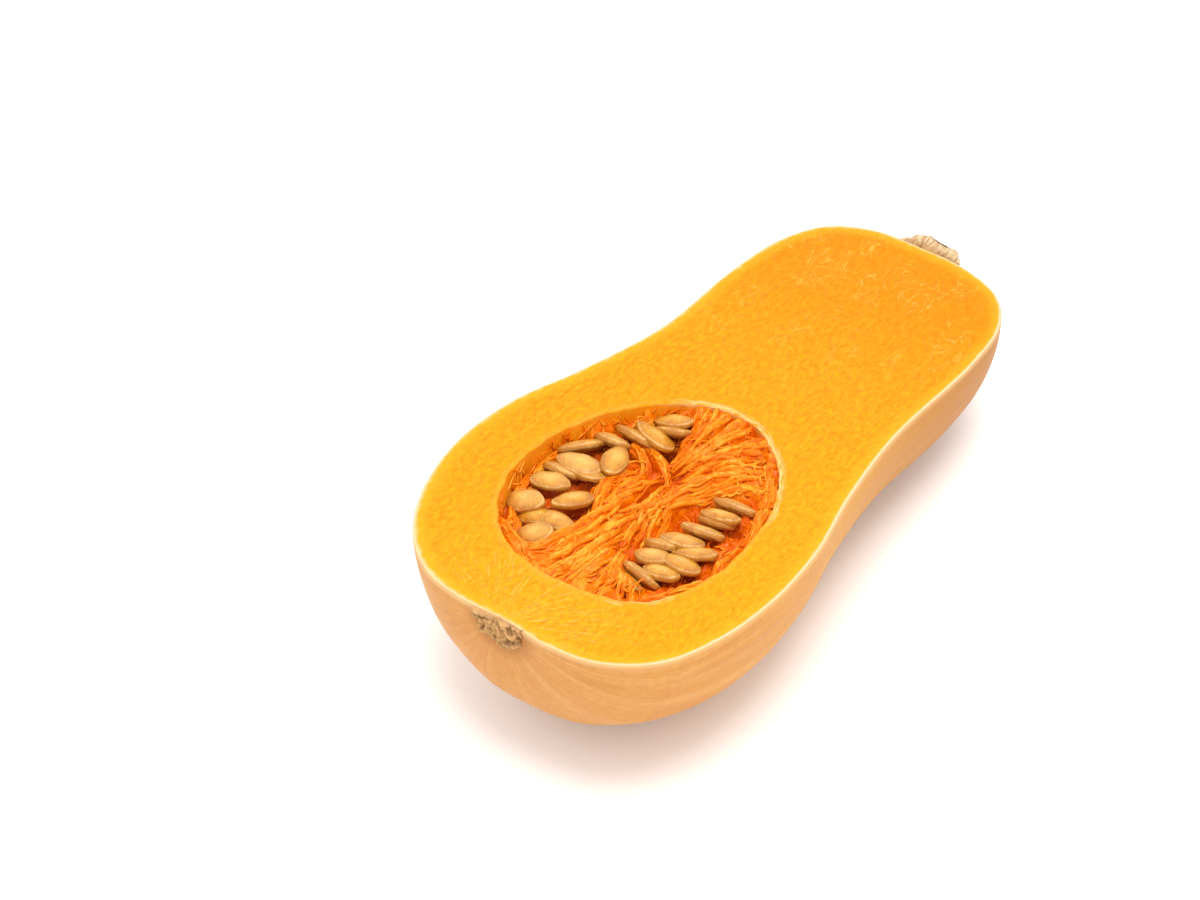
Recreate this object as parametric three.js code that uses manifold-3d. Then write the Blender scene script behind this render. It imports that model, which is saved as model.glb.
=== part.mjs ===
// Half of a butternut squash, cut lengthwise and lying on its rounded back with the cut face up.
//
// Everything is modelled in the cut frame, in millimetres: x runs along the squash from the blossom
// end (0) to the stem end, y runs across the cut face to its far side, and z = 0 is the cut face
// with the body below it. The last section tips the half until bulb and neck both touch the surface.
import * as THREE from "three";
import { mergeVertices } from "three/addons/utils/BufferGeometryUtils.js";
import Module from "manifold-3d";

const wasm = await Module();
wasm.setup();

// ---------------------------------------------------------------- driving dimensions, mm
const GAP = 0.35; // clearance between neighbouring solids
const SETTLE = 0.7; // how far the rind flattens where it rests

// Three meridians of the body as [x, distance from the axis]: the edges of the cut face on the near
// and the far side, and the keel underneath. All run from the blossom end to the stem end.
const BLOSSOM_X = 2;
const STEM_X = 233;
const NEAR_EDGE = [[BLOSSOM_X, 0], [0.2, 18], [3, 36], [14, 51], [33, 59], [56, 61.7], [82, 59.4],
  [110, 52.2], [143, 46.8], [188, 46], [210, 42.2], [224, 32.4], [231, 17], [STEM_X, 0]];
const FAR_EDGE = [[BLOSSOM_X, 0], [2.4, 16], [6, 31], [17, 46], [36, 58], [62, 64.8], [88, 63.4],
  [114, 55.4], [147, 48], [186, 48], [210, 45], [225, 37], [232.6, 22], [STEM_X, 0]];
const KEEL = [[BLOSSOM_X, 0], [2, 17], [6, 32.5], [17, 46], [36, 55.5], [62, 60.5], [88, 59.5],
  [114, 54.5], [147, 51], [184, 51.2], [208, 48], [224, 37], [231.5, 19], [STEM_X, 0]];
const BODY_STATIONS = 44; // along each meridian
const BODY_SECTORS = 22; // round the back, from edge to edge
const LOBES = 5; // shallow lengthwise swellings of the back
const LOBE_RISE = 0.012; // as a share of the radius

// Seed hollow: an egg-shaped bowl in the bulb, narrower towards the stem end.
// It bulges towards the near side of the blossom end.
const HOLLOW = { x: 75, y: 1.2, long: 48, wide: 40.7, deep: 40, taper: 0.1 };
const BULGE = { angle: -137, spread: 26, rise: 0.12 };
const HOLLOW_SECTORS = 40;
const HOLLOW_RINGS = 7;

// Pulp: a bed of fibres in the hollow. Its heart is where the strands meet. Along the wall the bed
// is deep where seeds lie and climbs near to the cut face where strands do.
// Angles are round the heart: 0 points to the stem end, 90 to the far side.
const HEART = { x: 91, y: 4, depth: 13 };
const NEAR_RIM_DEPTH = 5.5;
const FAR_RIM_DEPTH = 9.2;
const STRAND_RIM_DEPTH = 2.4;
const CLIMBS = [{ angle: -30, spread: 46 }, { angle: 187, spread: 24 }];
const FOLDS = 9; // pairs of folds round the bed
const FOLD_RISE = 2.4;
const CREASES = 23;
const CREASE_RISE = 0.7;
const BED_RINGS = 7;
const BED_SECTORS = 54;

// Strands run from the heart up to the wall, in fans:
// [first angle, last angle, count, thickness, rise over the bed].
const STRAND_FANS = [
  [-84, 24, 15, 2.2, 3.2],
  [162, 184, 5, 2.2, 2.6],
  [189, 212, 5, 2, 2.6],
  [236, 262, 3, 1.8, 1.6],
];
const STRAND_SIDES = 4;
const STRAND_STEPS = 4;
const STRAND_TOP = -1.2; // no strand's axis comes nearer to the cut face

// Seeds lie in two clusters, on both sides of the heart, leaning on each other like cards:
// [x, y, depth, heading, pitch, roll, length]. The heading is that of the pointed end, turned from
// the stem end towards the far side. The pitch lowers the pointed end, and the roll turns the seed
// about its own length.
const FAR_SEEDS = [
  [51, 25, 5.5, -95, -19, 4, 14], [43, 19, 4, 88, 21, -16, 14.5], [51, 17, 3.5, 77, 7, 6, 14.5],
  [54, 31, 4, -89, -15, 16, 14.5], [65, 30, 3, -83, -5, -3, 14.5], [62, 19, 3.5, 150, -7, 7, 14.5],
  [73, 32, 5, 89, 2, 44, 14], [76, 25, 4.5, 98, 0, 20, 15], [77, 28, 3, 102, -4, 3, 15.8],
  [86, 34, 4.5, 146, -5, 40, 16], [85, 20, 3, 19, 2, 11, 15], [94, 28, 4.5, 84, 10, 41, 14.5],
  [100, 23, 4.5, 91, -7, 46, 15], [103, 18, 4, 78, -10, 26, 16.5], [110, 16, 5.5, 90, 17, 34, 14],
  [112, 17, 3.5, 97, 16, 12, 14.5],
];
const NEAR_SEEDS = [
  [41, -17, 4, 74, 5, 30, 14], [47, -19, 5, 80, -5, 54, 15.5], [50, -24, 3.5, 83, 12, 14, 14.5],
  [55, -17, 4, 85, 14, 11, 14], [62, -15, 5, 86, 17, 36, 13], [56, -27, 3, 81, 5, 17, 15],
  [66, -20, 4, 98, 5, 22, 15.5], [63, -27, 3.5, 105, 10, 19, 15.5], [74, -22, 4.5, 98, 0, 44, 15],
  [81, -22, 5.5, 87, 13, 38, 14], [82, -23, 3.5, 93, 8, 21, 14.5], [90, -23, 5, 98, -3, 45, 15.5],
  [105, -16, 4.5, 170, -16, 20, 13.5],
];
const SEED = { width: 0.61, thickness: 3.8, point: 0.34 }; // width as a share of the length
const SEED_THREAD = 1.8; // thread by which neighbouring seeds hang together
const SEED_SECTORS = 8;
const SEED_RINGS = 6;

// Blossom scar and stem stub, both halved by the cut. Each has its root sunk in the flesh.
const SCAR = { y: -0.7, radius: 10.2, root: 2.4, stand: 2, waves: 0.07, lumps: 0.7 };
const STUB = { y: 0.3, radius: 12.6, root: 2.6, stand: 6.2, taper: 0.5, waves: 0.08, lumps: 0.9 };
const STUB_RIDGES = 5;
const KNOB_SECTORS = 30;

// ---------------------------------------------------------------- helpers
const TURN = 2 * Math.PI;
const RIGHT = Math.PI / 2;
const lerp = THREE.MathUtils.lerp;
const radians = THREE.MathUtils.degToRad;

// A seeded generator of numbers from 0 to 1 (mulberry32).
function dice(seed) {
  let state = seed;
  return () => {
    state = (state + 0x6d2b79f5) | 0;
    let t = Math.imul(state ^ (state >>> 15), 1 | state);
    t = (t + Math.imul(t ^ (t >>> 7), 61 | t)) ^ t;
    return ((t ^ (t >>> 14)) >>> 0) / 4294967296;
  };
}

// A closed skin over rings of points, with a pole before the first ring and one after the last.
// The points of each ring turn right-handedly about the way from the first pole to the last.
function skin(firstPole, rings, lastPole) {
  const count = rings[0].length;
  const points = [firstPole, ...rings.flat(), lastPole];
  const at = (ring, i) => 1 + ring * count + (i % count);
  const faces = [];
  for (let i = 0; i < count; i++) {
    faces.push(0, at(0, i + 1), at(0, i));
    faces.push(points.length - 1, at(rings.length - 1, i), at(rings.length - 1, i + 1));
    for (let ring = 0; ring + 1 < rings.length; ring++) {
      faces.push(at(ring, i), at(ring, i + 1), at(ring + 1, i + 1));
      faces.push(at(ring, i), at(ring + 1, i + 1), at(ring + 1, i));
    }
  }
  const geometry = new THREE.BufferGeometry();
  geometry.setAttribute("position", new THREE.Float32BufferAttribute(points.flat(), 3));
  geometry.setIndex(faces);
  return geometry;
}

// A ring of points, one for each of count angles.
const ringOf = (count, pointAt) =>
  Array.from({ length: count }, (_, i) => pointAt((TURN * i) / count));

function solidOf(geometry) {
  const bare = geometry.clone();
  bare.deleteAttribute("normal");
  bare.deleteAttribute("uv");
  const merged = mergeVertices(bare, 1e-3);
  return new wasm.Manifold(new wasm.Mesh({
    numProp: 3,
    vertProperties: new Float32Array(merged.attributes.position.array),
    triVerts: new Uint32Array(merged.index.array),
  }));
}

function meshOf(name, solid, color, roughness) {
  const made = solid.getMesh();
  const geometry = new THREE.BufferGeometry();
  geometry.setAttribute("position", new THREE.BufferAttribute(made.vertProperties.slice(), 3));
  geometry.setIndex(new THREE.BufferAttribute(made.triVerts.slice(), 1));
  geometry.computeVertexNormals();
  const material = new THREE.MeshStandardMaterial({ color, roughness, metalness: 0 });
  const mesh = new THREE.Mesh(geometry, material);
  mesh.name = name;
  return mesh;
}

const joined = (solids) => solids.reduce((all, solid) => all.add(solid));
const largest = (solid) => solid.decompose().reduce((a, b) => (a.volume() > b.volume() ? a : b));

// The half space under a level, as a block far larger than the squash.
function blockBelow(level) {
  const size = 600;
  return new THREE.BoxGeometry(size, size, size).translate(0, 0, level - size / 2);
}

// ---------------------------------------------------------------- body: rind and flesh in one
// A smooth curve through a meridian's points, square to the axis at both ends.
function meridian(points) {
  const mirrored = ([x, w]) => new THREE.Vector3(x, -w, 0);
  const plain = ([x, w]) => new THREE.Vector3(x, w, 0);
  const last = points.length - 1;
  const all = [mirrored(points[1]), ...points.map(plain), mirrored(points[last - 1])];
  const curve = new THREE.CatmullRomCurve3(all, false, "centripetal");
  return (share) => {
    const p = curve.getPoint((1 + share * last) / (last + 2));
    return { x: p.x, w: Math.max(0, p.y) };
  };
}

const nearEdge = meridian(NEAR_EDGE);
const farEdge = meridian(FAR_EDGE);
const keel = meridian(KEEL);

// A point of the whole squash: share runs along it, and turn goes round it from the near edge of
// the cut by way of the keel (a quarter turn) to the far edge.
function skinPoint(share, turn) {
  const across = Math.cos(turn);
  const down = Math.sin(turn);
  const edge = across > 0 ? nearEdge(share) : farEdge(share);
  const deep = keel(share);
  const lobe = 1 + LOBE_RISE * Math.sin(Math.PI * share) * Math.abs(down) * Math.cos(2 * LOBES * turn);
  return [
    edge.x * across ** 2 + deep.x * down ** 2,
    -edge.w * across * lobe,
    -deep.w * down * lobe,
  ];
}

function halfBody() {
  const rings = [];
  for (let i = 1; i < BODY_STATIONS; i++) {
    rings.push(ringOf(2 * BODY_SECTORS, (turn) => skinPoint(i / BODY_STATIONS, turn)));
  }
  const whole = solidOf(skin([BLOSSOM_X, 0, 0], rings, [STEM_X, 0, 0]));
  return whole.intersect(solidOf(blockBelow(0)));
}

// ---------------------------------------------------------------- the seed hollow
function bulge(angle) {
  const off = angle - radians(BULGE.angle);
  const away = Math.atan2(Math.sin(off), Math.cos(off)) / radians(BULGE.spread);
  return 1 + BULGE.rise * Math.exp(-(away ** 2));
}

// The hollow's edge on the cut face, in the direction of an angle round its centre.
function hollowEdge(angle, room) {
  const along = Math.cos(angle) * bulge(angle);
  const across = Math.sin(angle) * bulge(angle) * (1 - HOLLOW.taper * along);
  return [HOLLOW.x + along * (HOLLOW.long - room), HOLLOW.y + across * (HOLLOW.wide - room)];
}

// The bowl of the hollow up to a level, room mm inside its wall.
function bowl(room, level) {
  const layer = (size, z) => ringOf(HOLLOW_SECTORS, (angle) => {
    const [x, y] = hollowEdge(angle, room);
    return [lerp(HOLLOW.x, x, size), lerp(HOLLOW.y, y, size), z];
  });
  const depth = HOLLOW.deep - room;
  const layers = [];
  for (let i = HOLLOW_RINGS - 1; i > 0; i--) {
    const lean = (RIGHT * i) / HOLLOW_RINGS;
    layers.push(layer(Math.cos(lean), -depth * Math.sin(lean)));
  }
  layers.push(layer(1, 0));
  layers.push(layer(1, 5));
  const full = solidOf(skin([HOLLOW.x, HOLLOW.y, -depth], layers, [HOLLOW.x, HOLLOW.y, 5]));
  return full.intersect(solidOf(blockBelow(level)));
}

// ---------------------------------------------------------------- pulp
// How far the wall is from the heart, by angle.
function wallReach(angle) {
  let low = 0;
  let high = 2 * HOLLOW.long;
  for (let i = 0; i < 30; i++) {
    const reach = (low + high) / 2;
    const along = (HEART.x + reach * Math.cos(angle) - HOLLOW.x) / HOLLOW.long;
    const level = (HEART.y + reach * Math.sin(angle) - HOLLOW.y) / HOLLOW.wide;
    const across = level / (1 - HOLLOW.taper * along);
    if (Math.hypot(along, across) < bulge(Math.atan2(across, along))) low = reach;
    else high = reach;
  }
  return low;
}

// Height of the bed, from the heart (share 0) to the wall (share 1).
function bedHeight(angle, share) {
  const climb = Math.max(...CLIMBS.map((fan) => {
    const off = radians(fan.angle) - angle;
    const away = Math.atan2(Math.sin(off), Math.cos(off)) / radians(fan.spread);
    return Math.exp(-(away ** 4));
  }));
  const plain = lerp(NEAR_RIM_DEPTH, FAR_RIM_DEPTH, 0.5 + 0.5 * Math.sin(angle));
  const depth = lerp(HEART.depth, lerp(plain, STRAND_RIM_DEPTH, climb), share ** 1.4);
  const swell = Math.sin(Math.PI * Math.min(1, share)) ** 0.7;
  const fold = Math.abs(Math.sin(FOLDS * angle + 0.9 * Math.sin(3 * angle)));
  const crease = Math.sin(CREASES * angle + 5 * share);
  return -depth + swell * (FOLD_RISE * fold + CREASE_RISE * crease);
}

// A block whose top is the relief of the bed. It overshoots the wall, and the bowl trims it.
function bed() {
  const overshoot = 1.04;
  const floor = -HOLLOW.deep - 2;
  const layer = (share, height) => ringOf(BED_SECTORS, (angle) => {
    const reach = wallReach(angle) * share;
    return [HEART.x + reach * Math.cos(angle), HEART.y + reach * Math.sin(angle), height(angle)];
  });
  const layers = [layer(overshoot, () => floor), layer(overshoot, (angle) => bedHeight(angle, 1))];
  for (let i = BED_RINGS - 1; i > 0; i--) {
    const share = i / BED_RINGS;
    layers.push(layer(share, (angle) => bedHeight(angle, share)));
  }
  return solidOf(skin([HEART.x, HEART.y, floor], layers, [HEART.x, HEART.y, -HEART.depth]));
}

// A strand along a few points, thinner towards its end.
function strand(points, thickness, steps = STRAND_STEPS) {
  const curve = new THREE.CatmullRomCurve3(points);
  const frames = curve.computeFrenetFrames(steps, false);
  const rings = [];
  for (let i = 0; i <= steps; i++) {
    const share = i / steps;
    const centre = curve.getPointAt(share);
    const radius = thickness * (0.58 - 0.22 * share);
    rings.push(ringOf(STRAND_SIDES, (turn) => centre.clone()
      .addScaledVector(frames.normals[i], radius * Math.cos(turn))
      .addScaledVector(frames.binormals[i], radius * Math.sin(turn))
      .toArray()));
  }
  return solidOf(skin(curve.getPointAt(0).toArray(), rings, curve.getPointAt(1).toArray()));
}

function strands() {
  const roll = dice(7);
  const made = [];
  for (const [first, last, count, thickness, rise] of STRAND_FANS) {
    for (let i = 0; i < count; i++) {
      const angle = radians(lerp(first, last, (i + lerp(0.2, 0.8, roll())) / count));
      const start = lerp(0.08, 0.3, roll());
      const lift = rise * lerp(0.5, 1.2, roll());
      const bend = radians(lerp(-7, 7, roll()));
      const pointAt = (way, free) => {
        const share = lerp(start, 1.03, way);
        const turned = angle + bend * Math.sin(Math.PI * way);
        const reach = wallReach(turned) * share;
        const height = bedHeight(turned, Math.min(1, share)) + free * lift;
        return new THREE.Vector3(
          HEART.x + reach * Math.cos(turned),
          HEART.y + reach * Math.sin(turned),
          Math.min(STRAND_TOP, height),
        );
      };
      const points = [pointAt(0, 0), pointAt(0.33, 0.8), pointAt(0.67, 1), pointAt(1, 0.2)];
      made.push(strand(points, thickness));
    }
  }
  return made;
}

// ---------------------------------------------------------------- seeds
// A flat seed along x, pointed at its far end, with room grown round it.
function seedSolid(length, room) {
  const sphere = new THREE.SphereGeometry(1, SEED_SECTORS, SEED_RINGS).rotateX(RIGHT);
  const place = sphere.attributes.position;
  const width = SEED.width * length;
  for (let i = 0; i < place.count; i++) {
    const x = place.getX(i);
    const slim = 1 - SEED.point * Math.max(0, x) ** 1.6;
    place.setXYZ(
      i,
      x * (length / 2 + room),
      place.getY(i) * slim * (width / 2 + room),
      place.getZ(i) * (SEED.thickness / 2 + room),
    );
  }
  return solidOf(sphere);
}

// Where the seeds of a cluster lie.
function seedPlaces(seeds) {
  return seeds.map(([x, y, depth, heading, pitch, lean, length]) => {
    const turn = new THREE.Euler(radians(lean), radians(pitch), radians(heading), "ZYX");
    const at = new THREE.Vector3(x, y, -depth);
    return { at, length, matrix: new THREE.Matrix4().makeRotationFromEuler(turn).setPosition(at) };
  });
}

// The seeds of a cluster, with the threads that tie each to the next, all with room round them.
function seedCluster(places, room) {
  const laid = places.map((place) => seedSolid(place.length, room).transform(place.matrix.elements));
  for (let i = 0; i + 1 < places.length; i++) {
    laid.push(strand([places[i].at, places[i + 1].at], SEED_THREAD + 2 * room, 1));
  }
  return joined(laid);
}

// ---------------------------------------------------------------- blossom scar and stem stub
// Half of a lumpy knob on an end of the squash, from its root at x = start to its face at x = end.
function knob({ y, radius, waves, lumps, taper = 0.1 }, ridges, start, end, room) {
  const spin = Math.sign(end - start);
  const layer = (way, size) => ringOf(KNOB_SECTORS, (turn) => {
    const wave = 1 + waves * Math.cos(2 * ridges * turn) + 0.4 * waves * Math.sin(11 * turn);
    const reach = (radius * (1 - taper * way ** 1.3) * wave + room) * size;
    const lump = way * lumps * (Math.sin(3 * turn + 1) + 0.6 * Math.sin(7 * turn + 4 * size));
    return [lerp(start, end, way) + spin * lump * size, y + reach * Math.cos(turn),
      spin * reach * Math.sin(turn)];
  });
  const layers = [layer(0, 1), layer(0.45, 1), layer(0.8, 1), layer(1, 0.9), layer(1, 0.5)];
  const full = solidOf(skin([start, y, 0], layers, [end, y, 0]));
  return full.intersect(solidOf(blockBelow(0)));
}

const scarSolid = (room) =>
  knob(SCAR, 3.5, BLOSSOM_X + SCAR.root + room, BLOSSOM_X - SCAR.stand - room, room);
const stubSolid = (room) =>
  knob(STUB, STUB_RIDGES, STEM_X - STUB.root - room, STEM_X + STUB.stand + room, room);

// ---------------------------------------------------------------- the pieces
const farPlaces = seedPlaces(FAR_SEEDS);
const nearPlaces = seedPlaces(NEAR_SEEDS);
const scar = scarSolid(0);
const stub = stubSolid(0);

const pulp = largest(joined([bed(), ...strands()])
  .intersect(bowl(GAP, -0.4))
  .subtract(seedCluster(farPlaces, GAP))
  .subtract(seedCluster(nearPlaces, GAP)));

const halved = largest(halfBody()
  .subtract(bowl(0, 5))
  .subtract(scarSolid(GAP))
  .subtract(stubSolid(GAP)));

// ---------------------------------------------------------------- resting place
// The tilt about y that brings the bulb and the neck down to the same level.
function restingTilt() {
  const samples = Array.from({ length: 400 }, (_, i) => keel((i + 0.5) / 400));
  const waist = 130;
  let tilt = 0;
  for (let i = 0; i < 12; i++) {
    const drop = (p) => p.x * Math.sin(tilt) + p.w * Math.cos(tilt);
    const lowest = (points) => points.reduce((a, b) => (drop(a) > drop(b) ? a : b));
    const bulb = lowest(samples.filter((p) => p.x < waist));
    const neck = lowest(samples.filter((p) => p.x > waist));
    tilt = Math.atan2(bulb.w - neck.w, neck.x - bulb.x);
  }
  return tilt;
}

const rest = new THREE.Matrix4().makeRotationY(restingTilt());
const restElements = rest.elements;
const tipped = halved.transform(restElements);
const surface = tipped.boundingBox().min[2] + SETTLE;
const settled = tipped.subtract(solidOf(blockBelow(surface)));

const half = new THREE.Group();
half.add(
  meshOf("flesh_half", settled, 0xf2a02c, 0.5),
  meshOf("pulp", pulp.transform(restElements), 0xe8690f, 0.45),
  meshOf("seeds_far", seedCluster(farPlaces, 0).transform(restElements), 0xdcb46e, 0.4),
  meshOf("seeds_near", seedCluster(nearPlaces, 0).transform(restElements), 0xdcb46e, 0.4),
  meshOf("blossom_scar", scar.transform(restElements), 0x9a8564, 0.9),
  meshOf("stem_stub", stub.transform(restElements), 0xa8946c, 0.9),
);

const extent = new THREE.Box3().setFromObject(half, true);
const middle = extent.getCenter(new THREE.Vector3());
half.position.set(-middle.x, -middle.y, -extent.min.z);

export default half;
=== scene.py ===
import math
import random
from contextlib import contextmanager

import bpy
import numpy as np
from mathutils import Euler, Matrix, Vector, kdtree, noise


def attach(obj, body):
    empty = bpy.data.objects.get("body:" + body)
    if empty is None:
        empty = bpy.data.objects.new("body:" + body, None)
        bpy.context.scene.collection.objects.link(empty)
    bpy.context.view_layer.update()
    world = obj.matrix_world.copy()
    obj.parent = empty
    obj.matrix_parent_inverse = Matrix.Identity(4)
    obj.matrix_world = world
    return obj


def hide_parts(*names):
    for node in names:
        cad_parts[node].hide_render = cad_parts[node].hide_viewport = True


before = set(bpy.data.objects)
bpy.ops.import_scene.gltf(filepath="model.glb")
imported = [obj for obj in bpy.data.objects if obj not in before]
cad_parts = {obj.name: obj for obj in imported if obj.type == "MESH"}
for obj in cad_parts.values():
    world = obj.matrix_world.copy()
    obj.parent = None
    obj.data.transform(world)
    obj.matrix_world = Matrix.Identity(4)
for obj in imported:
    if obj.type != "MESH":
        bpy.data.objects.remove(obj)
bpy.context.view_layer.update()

bl_info = {
    "name": "Halved Butternut Squash",
    "version": (1, 0, 0),
    "blender": (4, 5, 0),
    "location": "3D View > Sidebar > Squash",
    "description": "Half of a butternut squash with its pulp and seeds, on a pale studio floor",
    "category": "Add Mesh",
}

# The half is modelled in its cut frame, in millimetres: x runs along the squash from the blossom end
# to the stem end, y across the cut face to its far side, and z = 0 is the cut face.
MM = 0.001
STAGE_LIGHT = 1.28  # how much brighter the stage's light is than one that shows a colour as it is

# Three meridians of the body as (x, distance from the axis), from the blossom end to the stem end.
BLOSSOM_X = 2.0
STEM_X = 233.0
NEAR_EDGE = (
    (BLOSSOM_X, 0), (0.2, 18), (3, 36), (14, 51), (33, 59), (56, 61.7), (82, 59.4),
    (110, 52.2), (143, 46.8), (188, 46), (210, 42.2), (224, 32.4), (231, 17), (STEM_X, 0),
)
FAR_EDGE = (
    (BLOSSOM_X, 0), (2.4, 16), (6, 31), (17, 46), (36, 58), (62, 64.8), (88, 63.4),
    (114, 55.4), (147, 48), (186, 48), (210, 45), (225, 37), (232.6, 22), (STEM_X, 0),
)
KEEL = (
    (BLOSSOM_X, 0), (2, 17), (6, 32.5), (17, 46), (36, 55.5), (62, 60.5), (88, 59.5),
    (114, 54.5), (147, 51), (184, 51.2), (208, 48), (224, 37), (231.5, 19), (STEM_X, 0),
)
LOBES = 5
LOBE_RISE = 0.012

# Seed hollow: an egg-shaped bowl, narrower towards the stem end, with a bulge to one side.
HOLLOW_X = 75.0
HOLLOW_Y = 1.2
HOLLOW_LONG = 48.0
HOLLOW_WIDE = 40.7
HOLLOW_DEEP = 40.0
HOLLOW_TAPER = 0.1
BULGE_ANGLE = math.radians(-137)
BULGE_SPREAD = math.radians(26)
BULGE_RISE = 0.12

# Pulp: a bed of fibres round a heart where the strands meet. Angles are round the heart: 0 points
# to the stem end, 90 to the far side.
HEART_X = 91.0
HEART_Y = 4.0
HEART_DEPTH = 13.0
NEAR_RIM_DEPTH = 5.5
FAR_RIM_DEPTH = 9.2
STRAND_RIM_DEPTH = 5.0
CLIMBS = ((-30, 46), (187, 24))  # angle and spread of each place where the strands climb
FOLDS = 9
FOLD_RISE = 2.4

# Seeds as (x, y, depth, heading, pitch, roll, length), headed towards their pointed end.
FAR_SEEDS = (
    (51, 25, 5.5, -95, -19, 4, 14), (43, 19, 4, 88, 21, -16, 14.5), (51, 17, 3.5, 77, 7, 6, 14.5),
    (54, 31, 4, -89, -15, 16, 14.5), (65, 30, 3, -83, -5, -3, 14.5), (62, 19, 3.5, 150, -7, 7, 14.5),
    (73, 32, 5, 89, 2, 44, 14), (76, 25, 4.5, 98, 0, 20, 15), (77, 28, 3, 102, -4, 3, 15.8),
    (86, 34, 4.5, 146, -5, 40, 16), (85, 20, 3, 19, 2, 11, 15), (94, 28, 4.5, 84, 10, 41, 14.5),
    (100, 23, 4.5, 91, -7, 46, 15), (103, 18, 4, 78, -10, 26, 16.5), (110, 16, 5.5, 90, 17, 34, 14),
    (112, 17, 3.5, 97, 16, 12, 14.5),
)
NEAR_SEEDS = (
    (41, -17, 4, 74, 5, 30, 14), (47, -19, 5, 80, -5, 54, 15.5), (50, -24, 3.5, 83, 12, 14, 14.5),
    (55, -17, 4, 85, 14, 11, 14), (62, -15, 5, 86, 17, 36, 13), (56, -27, 3, 81, 5, 17, 15),
    (66, -20, 4, 98, 5, 22, 15.5), (63, -27, 3.5, 105, 10, 19, 15.5), (74, -22, 4.5, 98, 0, 44, 15),
    (81, -22, 5.5, 87, 13, 38, 14), (82, -23, 3.5, 93, 8, 21, 14.5), (90, -23, 5, 98, -3, 45, 15.5),
    (105, -16, 4.5, 170, -16, 20, 13.5),
)
SEED_WIDTH = 0.61  # as a share of the length
SEED_POINT = 0.34
VEILED_SEEDS = (NEAR_SEEDS[0], NEAR_SEEDS[12])  # strands of pulp lie over these

# Blossom scar and stem stub, halved by the cut.
SCAR_Y = -0.7
SCAR_RADIUS = 10.2
SCAR_ROOT = 2.4
SCAR_STAND = 2.0
STUB_Y = 0.3
STUB_RADIUS = 12.6
STUB_ROOT = 2.6
STUB_STAND = 6.2
SCAR_MIDDLE = (1.0, SCAR_Y, 0.0)

GOLDEN = 0.61803  # steps of this share spread the tints of like things evenly


# ---------------------------------------------------------------- small helpers
def lerp(a, b, share):
    return a + (b - a) * share


def tone(code):
    """A colour given as 0xRRGGBB under the stage's light, as linear red, green and blue."""
    parts = [(code >> shift & 255) / 255 for shift in (16, 8, 0)]
    linear = (c / 12.92 if c <= 0.04045 else ((c + 0.055) / 1.055) ** 2.4 for c in parts)
    return tuple(part / STAGE_LIGHT for part in linear)


def meridian(points):
    """A smooth curve through a meridian's points, square to the axis at both ends.

    It is a centripetal Catmull-Rom curve, and the function returned takes shares from 0 to 1.
    """
    ring = [(points[1][0], -points[1][1]), *points, (points[-2][0], -points[-2][1])]
    knots = np.array(ring, float)

    def at(share):
        spans = len(points) - 1
        place = np.clip(np.asarray(share, float), 0, 1) * spans
        first = np.minimum(place.astype(int), spans - 1)
        part = (place - first)[..., None]
        p0, p1, p2, p3 = (knots[first + step] for step in range(4))
        gap0, gap1, gap2 = (
            np.sqrt(np.linalg.norm(b - a, axis=-1))[..., None]
            for a, b in ((p0, p1), (p1, p2), (p2, p3))
        )
        slope1 = ((p1 - p0) / gap0 - (p2 - p0) / (gap0 + gap1) + (p2 - p1) / gap1) * gap1
        slope2 = ((p2 - p1) / gap1 - (p3 - p1) / (gap1 + gap2) + (p3 - p2) / gap2) * gap1
        bend2 = -3 * p1 + 3 * p2 - 2 * slope1 - slope2
        bend3 = 2 * p1 - 2 * p2 + slope1 + slope2
        found = p1 + slope1 * part + bend2 * part**2 + bend3 * part**3
        return found[..., 0], np.maximum(0, found[..., 1])

    return at


near_edge = meridian(NEAR_EDGE)
far_edge = meridian(FAR_EDGE)
keel = meridian(KEEL)


def skin_points(share, turn):
    """Points of the whole squash: share along it, turn from the near edge by way of the keel."""
    across, down = np.cos(turn), np.sin(turn)
    near = across > 0
    edge_x = np.where(near, near_edge(share)[0], far_edge(share)[0])
    edge_w = np.where(near, near_edge(share)[1], far_edge(share)[1])
    keel_x, keel_w = keel(share)
    lobe = 1 + LOBE_RISE * np.sin(np.pi * share) * np.abs(down) * np.cos(2 * LOBES * turn)
    return np.stack(
        [edge_x * across**2 + keel_x * down**2, -edge_w * across * lobe, -keel_w * down * lobe],
        axis=-1,
    )


def in_hollow(x, y):
    """Tells whether a spot of the cut face lies inside the edge of the hollow."""
    along = (x - HOLLOW_X) / HOLLOW_LONG
    across = (y - HOLLOW_Y) / HOLLOW_WIDE / (1 - HOLLOW_TAPER * along)
    away = turned(math.atan2(across, along), BULGE_ANGLE) / BULGE_SPREAD
    return math.hypot(along, across) < 1 + BULGE_RISE * math.exp(-(away**2))


def edge_reach(x, y, angle):
    """How far the hollow's edge is from a spot inside it, in the direction of an angle."""
    low, high = 0.0, 2 * HOLLOW_LONG
    for _ in range(20):
        reach = (low + high) / 2
        if in_hollow(x + reach * math.cos(angle), y + reach * math.sin(angle)):
            low = reach
        else:
            high = reach
    return low


def hollow_reach(angle):
    return edge_reach(HOLLOW_X, HOLLOW_Y, angle)


def wall_reach(angle):
    return edge_reach(HEART_X, HEART_Y, angle)


def turned(angle, other):
    """The smallest turn between two angles in radians."""
    return math.remainder(angle - other, 2 * math.pi)


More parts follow.
